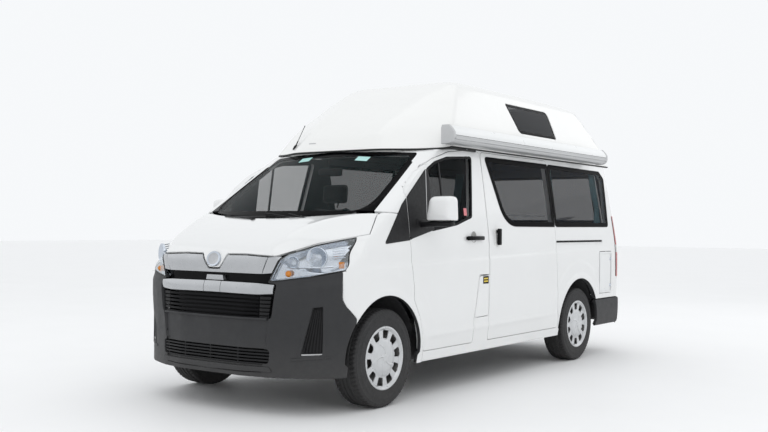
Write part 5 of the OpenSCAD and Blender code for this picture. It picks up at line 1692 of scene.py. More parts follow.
def cover_mesh():
    """Wheel cover facing +X at the origin, with its ring of openings and the valve's round hole."""
    turn = np.linspace(0, 2 * math.pi, COVER_STEPS, endpoint=False)
    radii = np.linspace(0.004, COVER_R, 54)
    rr, tt = np.meshgrid(radii, turn, indexing="ij")
    p = np.stack([cover_height(rr, tt), rr * np.cos(tt), rr * np.sin(tt)], -1)
    bm = bmesh.new()
    rows = [[bm.verts.new(q) for q in row] for row in p.tolist()]
    quads(bm, rows)
    hub = bm.verts.new((float(cover_height(np.array(0.0), np.array(0.0))), 0, 0))
    for k in range(len(turn)):
        bm.faces.new((hub, rows[0][(k + 1) % len(turn)], rows[0][k]))
    face_out(bm, (-1.0, 0, 0))
    for k in range(OPENINGS):
        a = 2 * math.pi * k / OPENINGS
        hole = [(0.139, -0.025), (0.197, -0.036), (0.197, 0.036), (0.139, 0.025)]
        hole = rounded([(u * math.cos(a) - v * math.sin(a), u * math.sin(a) + v * math.cos(a)) for u, v in hole],
            0.009, 3)
        trim(bm, hole, "x", False)
    at = (0.112 * math.cos(-0.55), 0.112 * math.sin(-0.55))
    trim(bm, [(at[0] + 0.0085 * math.cos(t), at[1] + 0.0085 * math.sin(t)) for t in np.linspace(0, 2 * math.pi, 14,
        endpoint=False)], "x", False)
    tidy(bm)
    thicken(bm, 0.007, 0.0015)
    return bm


class VAN_OT_wheels(bpy.types.Operator):
    """Four wheels: grooved tyres, steel rims and silver covers with ten openings and five swept ribs"""

    bl_idname = "van.wheels"
    bl_label = "Wheels"

    def execute(self, context):
        tyre, cover = tyre_mesh(), cover_mesh()
        steel = turned([(-0.096, 0.208), (-0.094, 0.217), (-0.088, 0.217), (-0.086, 0.205), (-0.03, 0.196),
            (0.03, 0.192), (0.05, 0.199), (0.086, 0.205), (0.088, 0.216),
                        (0.094, 0.216), (0.095, 0.207), (0.086, 0.199), (0.052, 0.192), (0.045, 0.16), (0.058, 0.11),
                        (0.054, 0.07), (0.062, 0.036), (0.062, 0.0),
                        (0.03, 0.0), (0.03, 0.1), (0.034, 0.15), (0.022, 0.185), (-0.03, 0.188), (-0.086, 0.198),
                        (-0.096, 0.202)], 72)
        for k in range(NUTS):
            a = 2 * math.pi * k / NUTS
            join(steel, cylinder_mesh(0.0105, 0.018, 6, 0.002,
                Matrix.Translation((0.064, 0.055 * math.cos(a), 0.055 * math.sin(a))) @ Matrix.Rotation(math.pi / 2, 4,
                "Y")))
        for n, (end, side) in enumerate((e, s) for e in ("front", "rear") for s in ("left", "right")):
            lo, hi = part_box("tyre_%s_%s" % (end, side))
            centre = (lo + hi) / 2
            flip = Matrix.Rotation(math.pi, 4, "Z") if side == "right" else Matrix.Identity(4)
            place = Matrix.Translation(centre) @ flip @ Matrix.Rotation(math.radians(23 * n + 8), 4, "X")
            body = "wheel_%s_%s" % (end, side)
            tag = "%s_%s" % (end, side)
            piece("tyre_tread_" + tag, placed(tyre.copy(), place), mat("tyre"), body, ["tyre_" + tag],
                smooth=32)
            piece("wheel_cover_" + tag, placed(cover.copy(), place), mat("wheel", "black"), body)
            piece("wheel_steel_" + tag, placed(steel.copy(), place), mat("cast"), body, ["rim_" + tag])
        for bm in (tyre, cover, steel):
            bm.free()
        return {"FINISHED"}


# ---- Fittings on the sides ----
def side_plate(outline, out, thick, edge=0.001, mirror=False, cell=0.02, index=0):
    """Plate with a given outline whose face stands out from the body side."""
    us, vs = [p[0] for p in outline], [p[1] for p in outline]
    bm = side_skin(min(us) - 0.005, max(us) + 0.005, min(vs) - 0.005, max(vs) + 0.005, cell, cell)
    for v in bm.verts:
        v.co.x = float(side_x(v.co.z)) + out
    trim(bm, outline, "x")
    tidy(bm)
    thicken(bm, thick, edge)
    reindex(bm, index)
    return flipped(bm, mirror)


def loft(rings):
    """Closed skin through rings of points that all have the same count."""
    bm = bmesh.new()
    rows = [[bm.verts.new(p) for p in ring] for ring in rings]
    quads(bm, rows)
    bm.faces.new(rows[0])
    bm.faces.new(list(reversed(rows[-1])))
    bmesh.ops.recalc_face_normals(bm, faces=bm.faces[:])
    return bm


MIRROR_AT = Vector((1.122, -1.285, 1.418))
MIRROR_SHAPE = rounded([(-0.118, -0.090), (0.112, -0.090), (0.104, 0.096), (-0.088, 0.096)],
    [0.014, 0.022, 0.045, 0.055], 6)
MIRROR_RINGS = [(-0.064, 0.40), (-0.0625, 0.62), (-0.058, 0.78), (-0.050, 0.875), (-0.038, 0.94), (-0.020, 0.98),
    (0.0, 1.0), (0.030, 1.0), (0.046, 0.985), (0.052, 0.955),
                (0.050, 0.93), (0.040, 0.92)]


class VAN_OT_mirrors(bpy.types.Operator):
    """Door mirrors on black arms, the black sails at the pillars' foot, and the quarter window's bar"""

    bl_idname = "van.mirrors"
    bl_label = "Door mirrors"

    def execute(self, context):
        at = MIRROR_AT
        for side, flip in (("left", False), ("right", True)):
            body = "front_door_" + side
            shell = loft([[(at.x + x * k - 0.006 * (1 - k), at.y + y, at.z + z * k) for x, z in MIRROR_SHAPE] for y,
                k in MIRROR_RINGS])
            for f in shell.faces:
                c = f.calc_center_median()
                if len(f.verts) > 6 and c.y > at.y:
                    f.material_index = 1
                elif c.y > at.y + 0.047 or c.z < at.z - 0.084:
                    f.material_index = 2
            piece("mirror_shell_" + side, flipped(shell, flip), mat("paint", "chrome", "black"), body,
                ["mirror_" + side])
            arm = rounded_block((0.928, at.y - 0.036, 1.280), (1.222, at.y + 0.038, 1.322), 0.016, 3)
            for v in arm.verts:
                # The arm tapers outwards and rises a little
                run = (v.co.x - 0.928) / 0.294
                v.co.z += 0.012 * run * (1 if v.co.z < 1.30 else 0.35)
                v.co.y = at.y + (v.co.y - at.y) * (1 - 0.2 * run)
            join(arm, rounded_block((1.03, at.y - 0.022, 1.31), (1.09, at.y + 0.022, 1.36), 0.008))
            join(arm, rounded_block((0.922, at.y - 0.07, 1.262), (0.952, at.y + 0.075, 1.345), 0.012, 3))
            piece("mirror_arm_" + side, flipped(arm, flip), mat("black"), body)
            sail = rounded(shifted([(0.2895, 1.189), (0.322, 1.199), (0.62, 1.262), (0.62, 1.727), (0.574, 1.722),
                (0.2895, 1.506)], FRONT_AXLE),
                           [0.004, 0.01, 0.002, 0.002, 0.02, 0.004], 3)
            piece("mirror_sail_" + side, side_plate(sail, 0.0032, 0.012, 0.0012, flip), mat("black"), body)
            foot = rounded(shifted([(-0.040, 1.160), (0.2825, 1.186), (0.2825, 1.50), (0.215, 1.447)], FRONT_AXLE),
                [0.014, 0.002, 0.006, 0.02], 4)
            piece("pillar_sail_" + side, side_plate(foot, 0.0032, 0.012, 0.0012, flip), mat("black"), "body")
            strip = rounded(shifted([(0.517, 1.285), (0.578, 1.718), (0.585, 1.718), (0.524, 1.285)], FRONT_AXLE),
                0.001, 1)
            piece("quarter_bar_" + side, side_plate(strip, 0.0055, 0.004, 0.0006, flip), mat("alloy"), body)
        return {"FINISHED"}


class VAN_OT_handles(bpy.types.Operator):
    """Door handles with their cups, the sliding door's handle and rail, and the gutter seals"""

    bl_idname = "van.handles"
    bl_label = "Handles and rail"

    def execute(self, context):
        for side, flip in (("left", False), ("right", True)):
            z, y0, y1 = 1.197, FRONT_AXLE + 1.074, FRONT_AXLE + 1.336
            x = float(side_x(z))
            bar = rounded_block((x + 0.014, y0, z - 0.017), (x + 0.036, y1, z + 0.017), 0.0105, 4)
            for v in bar.verts:
                v.co.x -= 0.010 * ((v.co.y - (y0 + y1) / 2) / (y1 - y0) * 2) ** 4
            for y in (y0 + 0.022, y1 - 0.03):
                join(bar, rounded_block((x - 0.004, y - 0.014, z - 0.012), (x + 0.022, y + 0.014, z + 0.012), 0.004))
            piece("door_handle_" + side, flipped(bar, flip), mat("gloss_black"), "front_door_" + side)
            cup = turned([(-0.001, 0.0), (-0.0005, 0.018), (0.001, 0.036), (0.004, 0.045), (0.0048, 0.049),
                (0.003, 0.052), (-0.004, 0.053)], 44, (1, 0, 0.04),
                         (float(side_x(1.206)), (y0 + y1) / 2 - 0.012, 1.206))
            # The cup's inner disc takes the light grey trim finish as painted shade of the recess; its rim keeps the
            # body paint.
            for f in cup.faces:
                f.material_index = 1 if math.hypot(f.calc_center_median().y - (y0 + y1) / 2 + 0.012,
                    f.calc_center_median().z - 1.206) < 0.042 else 0
            piece("handle_cup_" + side, flipped(cup, flip), mat("paint", "trim"), "front_door_" + side)
            seal = side_plate(rounded([(FRONT_AXLE + 1.02, 1.9235), (2.36, 1.9235), (2.40, 1.936),
                (FRONT_AXLE + 0.98, 1.936)], 0.003, 2), 0.006, 0.012, 0.002, flip, 0.05)
            piece("gutter_seal_" + side, seal, mat("rubber"), "body")
        z0, z1, y0, y1 = 1.136, 1.276, FRONT_AXLE + 1.556, FRONT_AXLE + 1.618
        x = float(side_x(1.2))
        grip = rounded_block((x + 0.010, y0 + 0.004, z0), (x + 0.034, y1 - 0.006, z1), 0.011, 4)
        join(grip, rounded_block((x - 0.004, y0 + 0.014, z0 + 0.012), (x + 0.02, y1 - 0.014, z0 + 0.034), 0.004))
        join(grip, rounded_block((x - 0.004, y0 + 0.014, z1 - 0.034), (x + 0.02, y1 - 0.014, z1 - 0.012), 0.004))
        piece("slider_handle", grip, mat("gloss_black"), "body")
        pan = rounded(rect(y0 - 0.006, z0 - 0.012, y1 + 0.014, z1 + 0.012), 0.028, 5)
        dish = side_plate(pan, 0.0018, 0.006, 0.001)
        piece("slider_handle_pan", dish, mat("roof"), "body")
        # Sliding door rail: dark channel with bright lips
        ya, yb = SLIDER_Y[1] + 0.006, REAR_AXLE + 0.555
        channel = side_plate(rect(ya, 1.144, yb, 1.168), -0.016, 0.006, 0, cell=0.04)
        for zz in (1.171, 1.141):
            join(channel, side_plate(rect(ya - 0.004, zz - 0.003, yb + 0.004, zz + 0.003), 0.0028, 0.006, 0.001,
                cell=0.04, index=1))
        join(channel, tube_mesh([(float(side_x(1.157)) - 0.009, y, 1.157) for y in np.linspace(ya + 0.004, yb - 0.004,
            6)], 0.0032, 8))
        piece("slider_rail_channel", channel, mat("gloss_black", "paint"), "body")
        return {"FINISHED"}


class VAN_OT_flaps(bpy.types.Operator):
    """Fuel flap with its bare label, the framed service hatch, and the door window's plain label"""

    bl_idname = "van.flaps"
    bl_label = "Fuel flap and hatch"

    def execute(self, context):
        flap = side_plate(offset(FLAP, -0.0025), 0.0, 0.012, 0.002)
        piece("fuel_flap_skin", flap, mat("paint"), "fuel_flap", ["fuel_flap"])
        y0, y1, z0, z1 = FRONT_AXLE + 1.336, FRONT_AXLE + 1.426, 0.822, 0.884
        label = side_plate(rounded(rect(y0, z0, y1, z1), 0.004, 2), 0.0008, 0.0012, 0.0002)
        for zz in (z0 + 0.014, z0 + 0.036):
            join(label, side_plate(rounded(rect(y0 + 0.012, zz, y1 - 0.012, zz + 0.012), 0.003, 2), 0.0014, 0.001,
                0.0002, index=1))
        piece("fuel_label", label, mat("gloss_black", "yellow"), "fuel_flap")
        lid = side_plate(offset(HATCH, -0.0035), 0.002, 0.016, 0.002)
        ring = side_plate(offset(HATCH, -0.0035), 0.006, 0.006, 0.0015)
        trim(ring, offset(HATCH, -0.022), "x", False)
        join(lid, ring)
        for z in (0.70, 0.97):
            lock = turned([(0.0, 0.0), (0.003, 0.001), (0.0035, 0.010), (0.005, 0.012), (0.005, 0.016), (0.0, 0.018)],
                24, (1, 0, 0), (float(side_x(z)) + 0.002, REAR_AXLE + 0.737, z))
            join(lid, reindex(lock, 1))
        piece("service_hatch_lid", lid, mat("awning", "chrome"), "service_hatch", ["service_hatch"])
        y0, y1, z0, z1 = FRONT_AXLE + 1.106, FRONT_AXLE + 1.152, 1.378, 1.438
        pink = side_plate(rounded(rect(y0, z0, y1, z1), 0.003, 2), -0.0145, 0.0008, 0.0001)
        piece("window_label", pink, mat("pink"), "front_door_left")
        return {"FINISHED"}


class VAN_OT_antenna(bpy.types.Operator):
    """Whip antenna on its sprung foot, and the seal round the roof's nose"""

    bl_idname = "van.antenna"
    bl_label = "Antenna"

    def execute(self, context):
        base = Vector((-0.548, -1.045, 1.925))
        lean = Matrix.Rotation(math.radians(4), 4, "Z") @ Matrix.Rotation(math.radians(-35), 4, "X")
        place = Matrix.Translation(base) @ lean
        foot = turned([(0.018, 0.0), (0.018, 0.0145), (0.05, 0.013), (0.066, 0.008), (0.072, 0.005), (0.072, 0.0)], 24,
            (0, 0, 1))
        for k in range(7):
            join(foot, turned([(0.073 + 0.006 * k, 0.0), (0.0745 + 0.006 * k, 0.0052), (0.0775 + 0.006 * k, 0.0052),
                (0.079 + 0.006 * k, 0.0)], 14, (0, 0, 1)))
        join(foot, cylinder_mesh(0.0026, 0.165, 10, 0, Matrix.Translation((0, 0, 0.197))))
        join(foot, turned([(0.278, 0.0), (0.2785, 0.0042), (0.284, 0.0048), (0.288, 0.0)], 12, (0, 0, 1)))
        piece("antenna_whip", placed(foot, place), mat("black"), "body", ["antenna"])
        a = np.radians(np.linspace(-84, 84, 60))
        d = np.stack([np.sin(a), -np.cos(a), 0 * a], -1)
        line = cast(roof_field, np.broadcast_to(np.array([0, FRONT_AXLE + 1.45, 1.900]), d.shape), d)
        seal = tube_mesh([(p[0] * 0.999, p[1] + 0.002,
            1.8955 + 0.018 * float(step(p[1], FRONT_AXLE + 0.72, FRONT_AXLE + 1.0))) for p in line], 0.009, 8)
        piece("roof_nose_seal", seal, mat("rubber"), "body")
        return {"FINISHED"}


# ---- Roof fittings ----
AWNING_Y = (-1.025, 1.915)


def awning_profile():
    """Cassette's cross-section in the frame's x and z."""
    bow = [(0.12 + 0.049 * math.cos(a), 0.049 + 0.049 * math.sin(a)) for a in np.radians(np.linspace(-80, 0, 9))]
    return [(0.884 + x, 1.931 + z) for x, z in [(0.058, 0), (0.12, 0)] + bow + [(0.169, 0.084), (0.150, 0.112),
        (0.123, 0.14), (0.066, 0.14), (0.058, 0.12)]]


class VAN_OT_awning(bpy.types.Operator):
    """Side awning: cassette, lead rail, end caps and brackets, left bare of marks"""

    bl_idname = "van.awning"
    bl_label = "Awning"

    def execute(self, context):
        profile = awning_profile()
        y0, y1 = AWNING_Y
        case = extruded(profile, "y", y0 + 0.03, y1 - 0.03)
        cuts = rect(0.8, 1.9925, 1.2, 1.9955)
        scribe(case, cuts, "y")
        for f in case.faces:
            c = f.calc_center_median()
            f.material_index = 2 if 1.9925 < c.z < 1.9955 and c.x > 1.0 else (0 if c.z > 1.99 else 1)
        for y in (y0, y1 - 0.032):
            join(case, reindex(extruded(offset(profile, 0.004), "y", y, y + 0.032, 0.005, 3), 1))
        rib = extruded(rounded([(1.040, 1.958), (1.060, 1.962), (1.060, 1.975), (1.040, 1.975)], 0.003, 2), "y",
            y0 + 0.03, y1 - 0.03)
        join(case, reindex(rib, 1))
        for share in (0.08, 0.5, 0.92):
            y = y0 + share * (y1 - y0)
            hook = rounded_block((0.872, y - 0.045, 1.940), (0.8865, y + 0.045, 2.0745), 0.004)
            join(hook, rounded_block((0.874, y - 0.045, 2.0665), (0.98, y + 0.045, 2.0745), 0.003))
            join(hook, rounded_block((0.88, y - 0.045, 1.945), (0.948, y + 0.045, 1.955), 0.003))
            join(case, reindex(hook, 2))
        piece("awning_cassette", case, mat("awning", "alloy", "black"), "body", ["awning"])
        return {"FINISHED"}


class VAN_OT_roof_fittings(bpy.types.Operator):
    """Side windows of the high roof, the roof vent's lid and hinge, and the small front slot"""

    bl_idname = "van.roof_fittings"
    bl_label = "Roof fittings"

    def execute(self, context):
        pane = grid_mesh(roof_skin())
        drop(pane, lambda c: c.x < 0.3 or c.y < REAR_AXLE - 1.3 or c.y > REAR_AXLE + 0.2)
        face_out(pane, (0, 0.3, 1.9))
        pane.normal_update()
        for v in pane.verts:
            v.co -= v.normal * 0.003
        trim(pane, offset(ROOF_GLASS, -0.002), "x")
        border(pane, offset(ROOF_GLASS, -0.028), "x")
        tidy(pane)
        thicken(pane, PANE, 0.001)
        piece("roof_panes", both(pane), mat("tint", "frit"), "body", ["roof_windows"])
        y, h = REAR_AXLE + 0.14, 0.243
        rows = []
        for z, k in ((2.5712, 1.0), (2.592, 1.0), (2.598, 0.99), (2.6005, 0.965), (2.601, 0.90), (2.5992, 0.885),
                (2.5992, 0.84), (2.6012, 0.82), (2.6035, 0.5), (2.604, 0.1)):
            rows.append([(u * k, y + v * k, z) for u, v in rounded(rect(-h, -h, h, h), 0.05, 6)])
        lid = loft(rows)
        hinge = tube_mesh([(-0.16, y + h - 0.004, 2.577), (0.16, y + h - 0.004, 2.577)], 0.0055, 10)
        join(lid, reindex(hinge, 1))
        piece("vent_lid", lid, mat("awning", "black"), "roof_vent", ["roof_vent"])
        x, z = -0.30, 1.976
        front = cast(roof_field, np.array([[x, FRONT_AXLE + 1.45, z]]), np.array([[0.0, -1.0, 0.0]]))[0][1]
        slot = rounded_block((x - 0.036, front - 0.003, z - 0.006), (x + 0.036, front + 0.012, z + 0.006), 0.0025)
        piece("roof_slot", slot, mat("alloy"), "body")
        return {"FINISHED"}


# ---- Cabin ----
CHANNEL_W = 0.008
CABIN_FLOOR = 0.5608
SEAT_X, SEAT_Y = 0.43, -1.025
BENCH_HALF = 0.66
CURTAIN_TOP, CURTAIN_FOOT, WAIST_Z = 1.884, 1.294, 1.50
CURTAIN_W, CURTAIN_FLAT_W, WAIST_IN, PLEATS = 0.146, 0.30, 0.055, 6
# Cloth run on the pads: remesh cell, pressure, frames, how far a point may move, and how far beyond the pad's own box
PUFF_CELL, PUFF_PRESSURE, PUFF_FRAMES, PUFF_CAP, PUFF_MARGIN = 0.012, 4.0, 12, 0.012, 0.010


def cushion(lo, hi, crown, pinch, puff=0.35):
    """Crowned pad between two corners: its sides pull in between the corners and its faces swell."""
    bm = rounded_block(lo, hi, min(b - a for a, b in zip(lo, hi)) * puff, 4)
    for _ in range(2):
        long = [e for e in bm.edges if e.calc_length() > 0.05]
        if long:
            bmesh.ops.subdivide_edges(bm, edges=long, cuts=2, use_grid_fill=True)
    c = [(a + b) / 2 for a, b in zip(lo, hi)]
    h = [(b - a) / 2 for a, b in zip(lo, hi)]
    thin = h.index(min(h))
    a, b = [k for k in range(3) if k != thin]
    for v in bm.verts:
        u, w, t = ((v.co[a] - c[a]) / h[a], (v.co[b] - c[b]) / h[b], (v.co[thin] - c[thin]) / h[thin])
        dome = max(0, 1 - u * u) * max(0, 1 - w * w)
        v.co[thin] += crown * dome ** 0.7 * t
        v.co[a] -= pinch * u * abs(u) ** 3 * max(0, 1 - w * w)
        v.co[b] -= pinch * w * abs(w) ** 3 * max(0, 1 - u * u)
    return bm


def channels(bm, at, depth):
    """Presses sewn channels that run fore and aft into a pad."""
    for v in bm.verts:
        near = min(abs(v.co.x - x) for x in at)
        v.co.z -= depth * math.exp(-((near / CHANNEL_W) ** 2))


def swell(name, bm, material):
    """Inflates a pad with a short cloth simulation, capped close to its own form."""
    o = piece(name, bm, material, "body")
    start = np.array([v.co for v in o.data.vertices])
    o.modifiers.new("even", "REMESH").voxel_size = PUFF_CELL
    bpy.context.view_layer.objects.active = o
    with bpy.context.temp_override(object=o, active_object=o, selected_objects=[o]):
        bpy.ops.object.modifier_apply(modifier="even")
    before = np.array([v.co for v in o.data.vertices])
    cloth = o.modifiers.new("puff", "CLOTH")
    cloth.settings.use_pressure = True
    cloth.settings.uniform_pressure_force = PUFF_PRESSURE
    cloth.settings.effector_weights.gravity = 0
    cloth.settings.quality = 4
    scene = bpy.context.scene
    for frame_no in range(1, PUFF_FRAMES + 1):
        scene.frame_set(frame_no)
    with bpy.context.temp_override(object=o, active_object=o, selected_objects=[o]):
        bpy.ops.object.modifier_apply(modifier="puff")
    scene.frame_set(1)
    after = np.array([v.co for v in o.data.vertices])
    move = after - before
    length = np.linalg.norm(move, axis=1, keepdims=True)
    capped = before + move * np.minimum(1, PUFF_CAP / np.maximum(length, 1e-9))
    capped = np.clip(capped, start.min(0) - PUFF_MARGIN, start.max(0) + PUFF_MARGIN)
    o.data.vertices.foreach_set("co", capped.astype(np.float32).ravel())
    o.data.update()
    return o


def seat_parts(x):
    """Base, cushion, back and headrest of one front seat."""
    y0 = SEAT_Y
    shell = extruded(rect(y0 - 0.2, CABIN_FLOOR, y0 + 0.24, 0.79), "x", x - 0.205, x + 0.205, 0.012, 3)
    for dx in (-0.05, 0.05):
        join(shell, tube_mesh([(x + dx, y0 + 0.382, 1.45), (x + dx, y0 + 0.397, 1.50)], 0.007, 10))
    seat = cushion((x - 0.238, y0 - 0.255, 0.797), (x + 0.238, y0 + 0.245, 0.925), 0.022, 0.012)
    for v in seat.verts:
        v.co.z += 0.02 * max(0, (y0 - v.co.y) / 0.25) + 0.016 * max(0,
            (abs(v.co.x - x) - 0.14) / 0.1) * (1 if v.co.z > 0.86 else 0)
    channels(seat, (x - 0.135, x + 0.135), 0.007)
    back = cushion((x - 0.235, -0.055, 0.0), (x + 0.235, 0.055, 0.545), 0.014, 0.014)
    for v in back.verts:
        taper = 1 - 0.16 * max(0, (v.co.z - 0.30) / 0.25)
        v.co.x = x + (v.co.x - x) * taper
        if v.co.y < 0:
            v.co.y -= 0.018 * max(0, (abs(v.co.x - x) - 0.13) / 0.1)
    for z in (0.16, 0.30):
        for v in back.verts:
            if v.co.y < 0:
                v.co.y += 0.006 * math.exp(-(((v.co.z - z) / 0.008) ** 2)) * (1 if abs(v.co.x - x) < 0.14 else 0)
    lean = math.atan2(0.17, 0.55)
    placed(back, Matrix.Translation((0, y0 + 0.232, 0.928)) @ Matrix.Rotation(-lean, 4, "X"))
    head = cushion((x - 0.128, -0.045, 0.0), (x + 0.128, 0.045, 0.172), 0.012, 0.008, puff=0.42)
    placed(head, Matrix.Translation((0, y0 + 0.405, 1.484)) @ Matrix.Rotation(-0.1, 4, "X"))
    return shell, seat, back, head


class VAN_OT_seats(bpy.types.Operator):
    """Front seats and rear bench: bases, swollen cushions, backs and headrests"""

    bl_idname = "van.seats"
    bl_label = "Seats"

    def execute(self, context):
        for n, x in (("left", SEAT_X), ("right", -SEAT_X)):
            shell, seat, back, head = seat_parts(x)
            piece("seat_base_" + n, shell, mat("dash"), "body",
                ["front_seats"] if n == "left" else [])
            for part, bm, fill in (("cushion", seat, 0.8), ("back", back, 0.8), ("headrest", head, 0.9)):
                swell("seat_%s_%s" % (part, n), bm, mat("seat"))
        box = extruded(rect(1.41, CABIN_FLOOR, 2.20, 0.772), "x", -BENCH_HALF, BENCH_HALF, 0.006)
        for x in (-0.33, 0.33):
            panel = extruded(rounded(rect(x - 0.27, 0.60, x + 0.27, 0.735), 0.012, 3), "y", 1.404, 1.411, 0.002)
            join(box, reindex(panel, 1))
        piece("bench_locker", box, mat("board", "trim"), "body", ["rear_bench"])
        for n, (xa, xb) in enumerate(((-BENCH_HALF, -0.005), (0.005, BENCH_HALF))):
            pad = cushion((xa, 1.41, 0.776), (xb, 2.09, 0.888), 0.016, 0.010)
            channels(pad, ((xa + xb) / 2,), 0.005)
            swell("bench_cushion_%d" % (n + 1), pad, mat("bench"))
            rest = cushion((xa, -0.05, 0.0), (xb, 0.05, 0.425), 0.012, 0.010)
            placed(rest, Matrix.Translation((0, 2.155, 0.893)) @ Matrix.Rotation(-0.06, 4, "X"))
            swell("bench_back_%d" % (n + 1), rest, mat("bench"))
        return {"FINISHED"}


class VAN_OT_cabin(bpy.types.Operator):
    """Dashboard, steering wheel, kitchen cabinet and curtains"""

    bl_idname = "van.cabin"
    bl_label = "Cabin"

    def execute(self, context):
        profile = rounded([(-1.7507, 1.226), (-1.7507, 0.86), (-1.6907, 0.832), (-1.475, 0.86), (-1.415, 0.96),
            (-1.415, 1.13), (-1.455, 1.2), (-1.655, 1.291),
                           (-1.7407, 1.291), (-1.7407, 1.226)], [0, 0.02, 0.03, 0.03, 0.03, 0.03, 0.04, 0.03, 0.004,
                           0.001], 4)
        dash = extruded(profile, "x", -0.836, 0.836, 0.008)
        for x in (-0.62, -0.10, 0.10, 0.62):
            vent = rounded_block((x - 0.06, -1.428, 1.135), (x + 0.06, -1.409, 1.178), 0.006)
            for k in range(4):
                join(vent, reindex(rounded_block((x - 0.052, -1.412, 1.140 + 0.0095 * k),
                    (x + 0.052, -1.404, 1.144 + 0.0095 * k), 0.001, 1), 1))
            join(dash, reindex_up(vent, 1, 0))
        join(dash, reindex(rounded_block((-0.12, -1.42, 0.99), (0.12, -1.408, 1.11), 0.008), 1))
        hood = extruded(rounded([(-1.60, 1.24), (-1.46, 1.185), (-1.44, 1.225), (-1.52, 1.30), (-1.60, 1.30)], 0.015,
            4), "x", -0.60, -0.26, 0.02, 3)
        join(dash, hood)
        join(dash, rounded_block((0.05, -1.46, 0.86), (0.14, -1.39, 0.99), 0.02, 3))
        knob = turned([(0, 0.0), (0.0, 0.008), (0.05, 0.008), (0.055, 0.018), (0.075, 0.02), (0.085, 0.012),
            (0.087, 0.0)], 20, (0, 0.35, 1), (0.095, -1.405, 0.97))
        join(dash, reindex(knob, 1))
        piece("dashboard_moulding", dash, mat("dash", "gloss_black"), "body", ["dashboard"])
        axis = Vector((0, 0.788, 0.6157)).normalized()
        base = Vector((-0.43, -1.401, 1.1))
        rim = Matrix.Translation(base + axis * 0.150) @ Vector((0, 0,
            1)).rotation_difference(axis).to_matrix().to_4x4()
        ring = bmesh.new()
        circle = [(0.18 * math.cos(a), 0.18 * math.sin(a), 0) for a in np.linspace(0, 2 * math.pi, 48, endpoint=False)]
        join(ring, tube_mesh(circle, 0.0145, 16, cyclic=True))
        for deg in (20, 160, 270):
            spoke = rounded_block((0.03, -0.018, -0.008), (0.172, 0.018, 0.006), 0.006, 3)
            placed(spoke, Matrix.Rotation(math.radians(deg), 4, "Z"))
            join(ring, reindex(spoke, 1))
        pad = turned([(-0.02, 0.0), (-0.02, 0.05), (-0.005, 0.062), (0.008, 0.058), (0.014, 0.04), (0.016, 0.0)], 36,
            (0, 0, 1))
        join(ring, pad)
        placed(ring, rim)
        join(ring, turned([(0.0, 0.0), (0.0, 0.024), (0.125, 0.022), (0.135, 0.0)], 28, tuple(axis), tuple(base)))
        piece("steering_wheel_rim", ring, mat("dash", "gloss_black"), "steering_wheel",
            ["steering_wheel"])
        # Kitchen cabinet: carcass, worktop, doors and drawer fronts with grips, sink and tap
        xa, xb, ya, yb, za, zb = -0.863, -0.473, -0.183, 0.983, 0.5612, 1.25
        carcass = rounded_block((xa, ya, za), (xb - 0.018, yb, zb - 0.024), 0.004)
        join(carcass, reindex(rounded_block((xa, ya, zb - 0.0235), (xb, yb, zb), 0.006, 3), 1))
        for n in range(3):
            u0 = ya + 0.012 + n * 0.382
            for z0, z1 in ((0.60, 1.03), (1.045, 1.215)):
                join(carcass, rounded_block((xb - 0.019, u0, z0), (xb - 0.003, u0 + 0.370, z1), 0.004))
                join(carcass, reindex(rounded_block((xb - 0.004, u0 + 0.13, z1 - 0.035),
                    (xb + 0.004, u0 + 0.24, z1 - 0.023), 0.0035), 2))
        bowl = turned([(0.0005, 0.15), (0.003, 0.152), (0.003, 0.138), (-0.018, 0.132), (-0.02, 0.0)], 44, (0, 0, 1),
            (-0.665, 0.12, zb - 0.0005))
        join(carcass, reindex(bowl, 2))
        tap = tube_mesh([(-0.80, 0.12, zb), (-0.80, 0.12, zb + 0.10), (-0.77, 0.12, zb + 0.13),
            (-0.70, 0.12, zb + 0.115)], 0.009, 10)
        join(carcass, reindex(tap, 2))
        for y in (0.50, 0.76):
            burner = turned([(0.0, 0.0), (0.002, 0.001), (0.004, 0.07), (0.008, 0.075), (0.010, 0.035), (0.013, 0.03),
                (0.013, 0.0)], 32, (0, 0, 1), (-0.665, y, zb))
            join(carcass, reindex(burner, 3))
        piece("cabinet_carcass", carcass, mat("board", "trim", "alloy", "black"), "body",
            ["kitchen_cabinet"])
        self.curtains()
        return {"FINISHED"}

    def curtains(self):
        """Gathered curtains beside the rear windows, drawn in at the waist by a tie."""
        cols, rows = 97, 30
        t = np.linspace(0, 1, cols)

        def row_amp(w):
            """Pleat depth that keeps the cloth's flat width when it is gathered to w."""
            lo, hi = 0.0, 0.06
            for _ in range(24):
                mid = (lo + hi) / 2
                pts = np.stack([t * w, mid * np.sin(t * 2 * math.pi * PLEATS)], -1)
                if np.linalg.norm(np.diff(pts, axis=0), axis=1).sum() > CURTAIN_FLAT_W:
                    hi = mid
                else:
                    lo = mid
            return lo

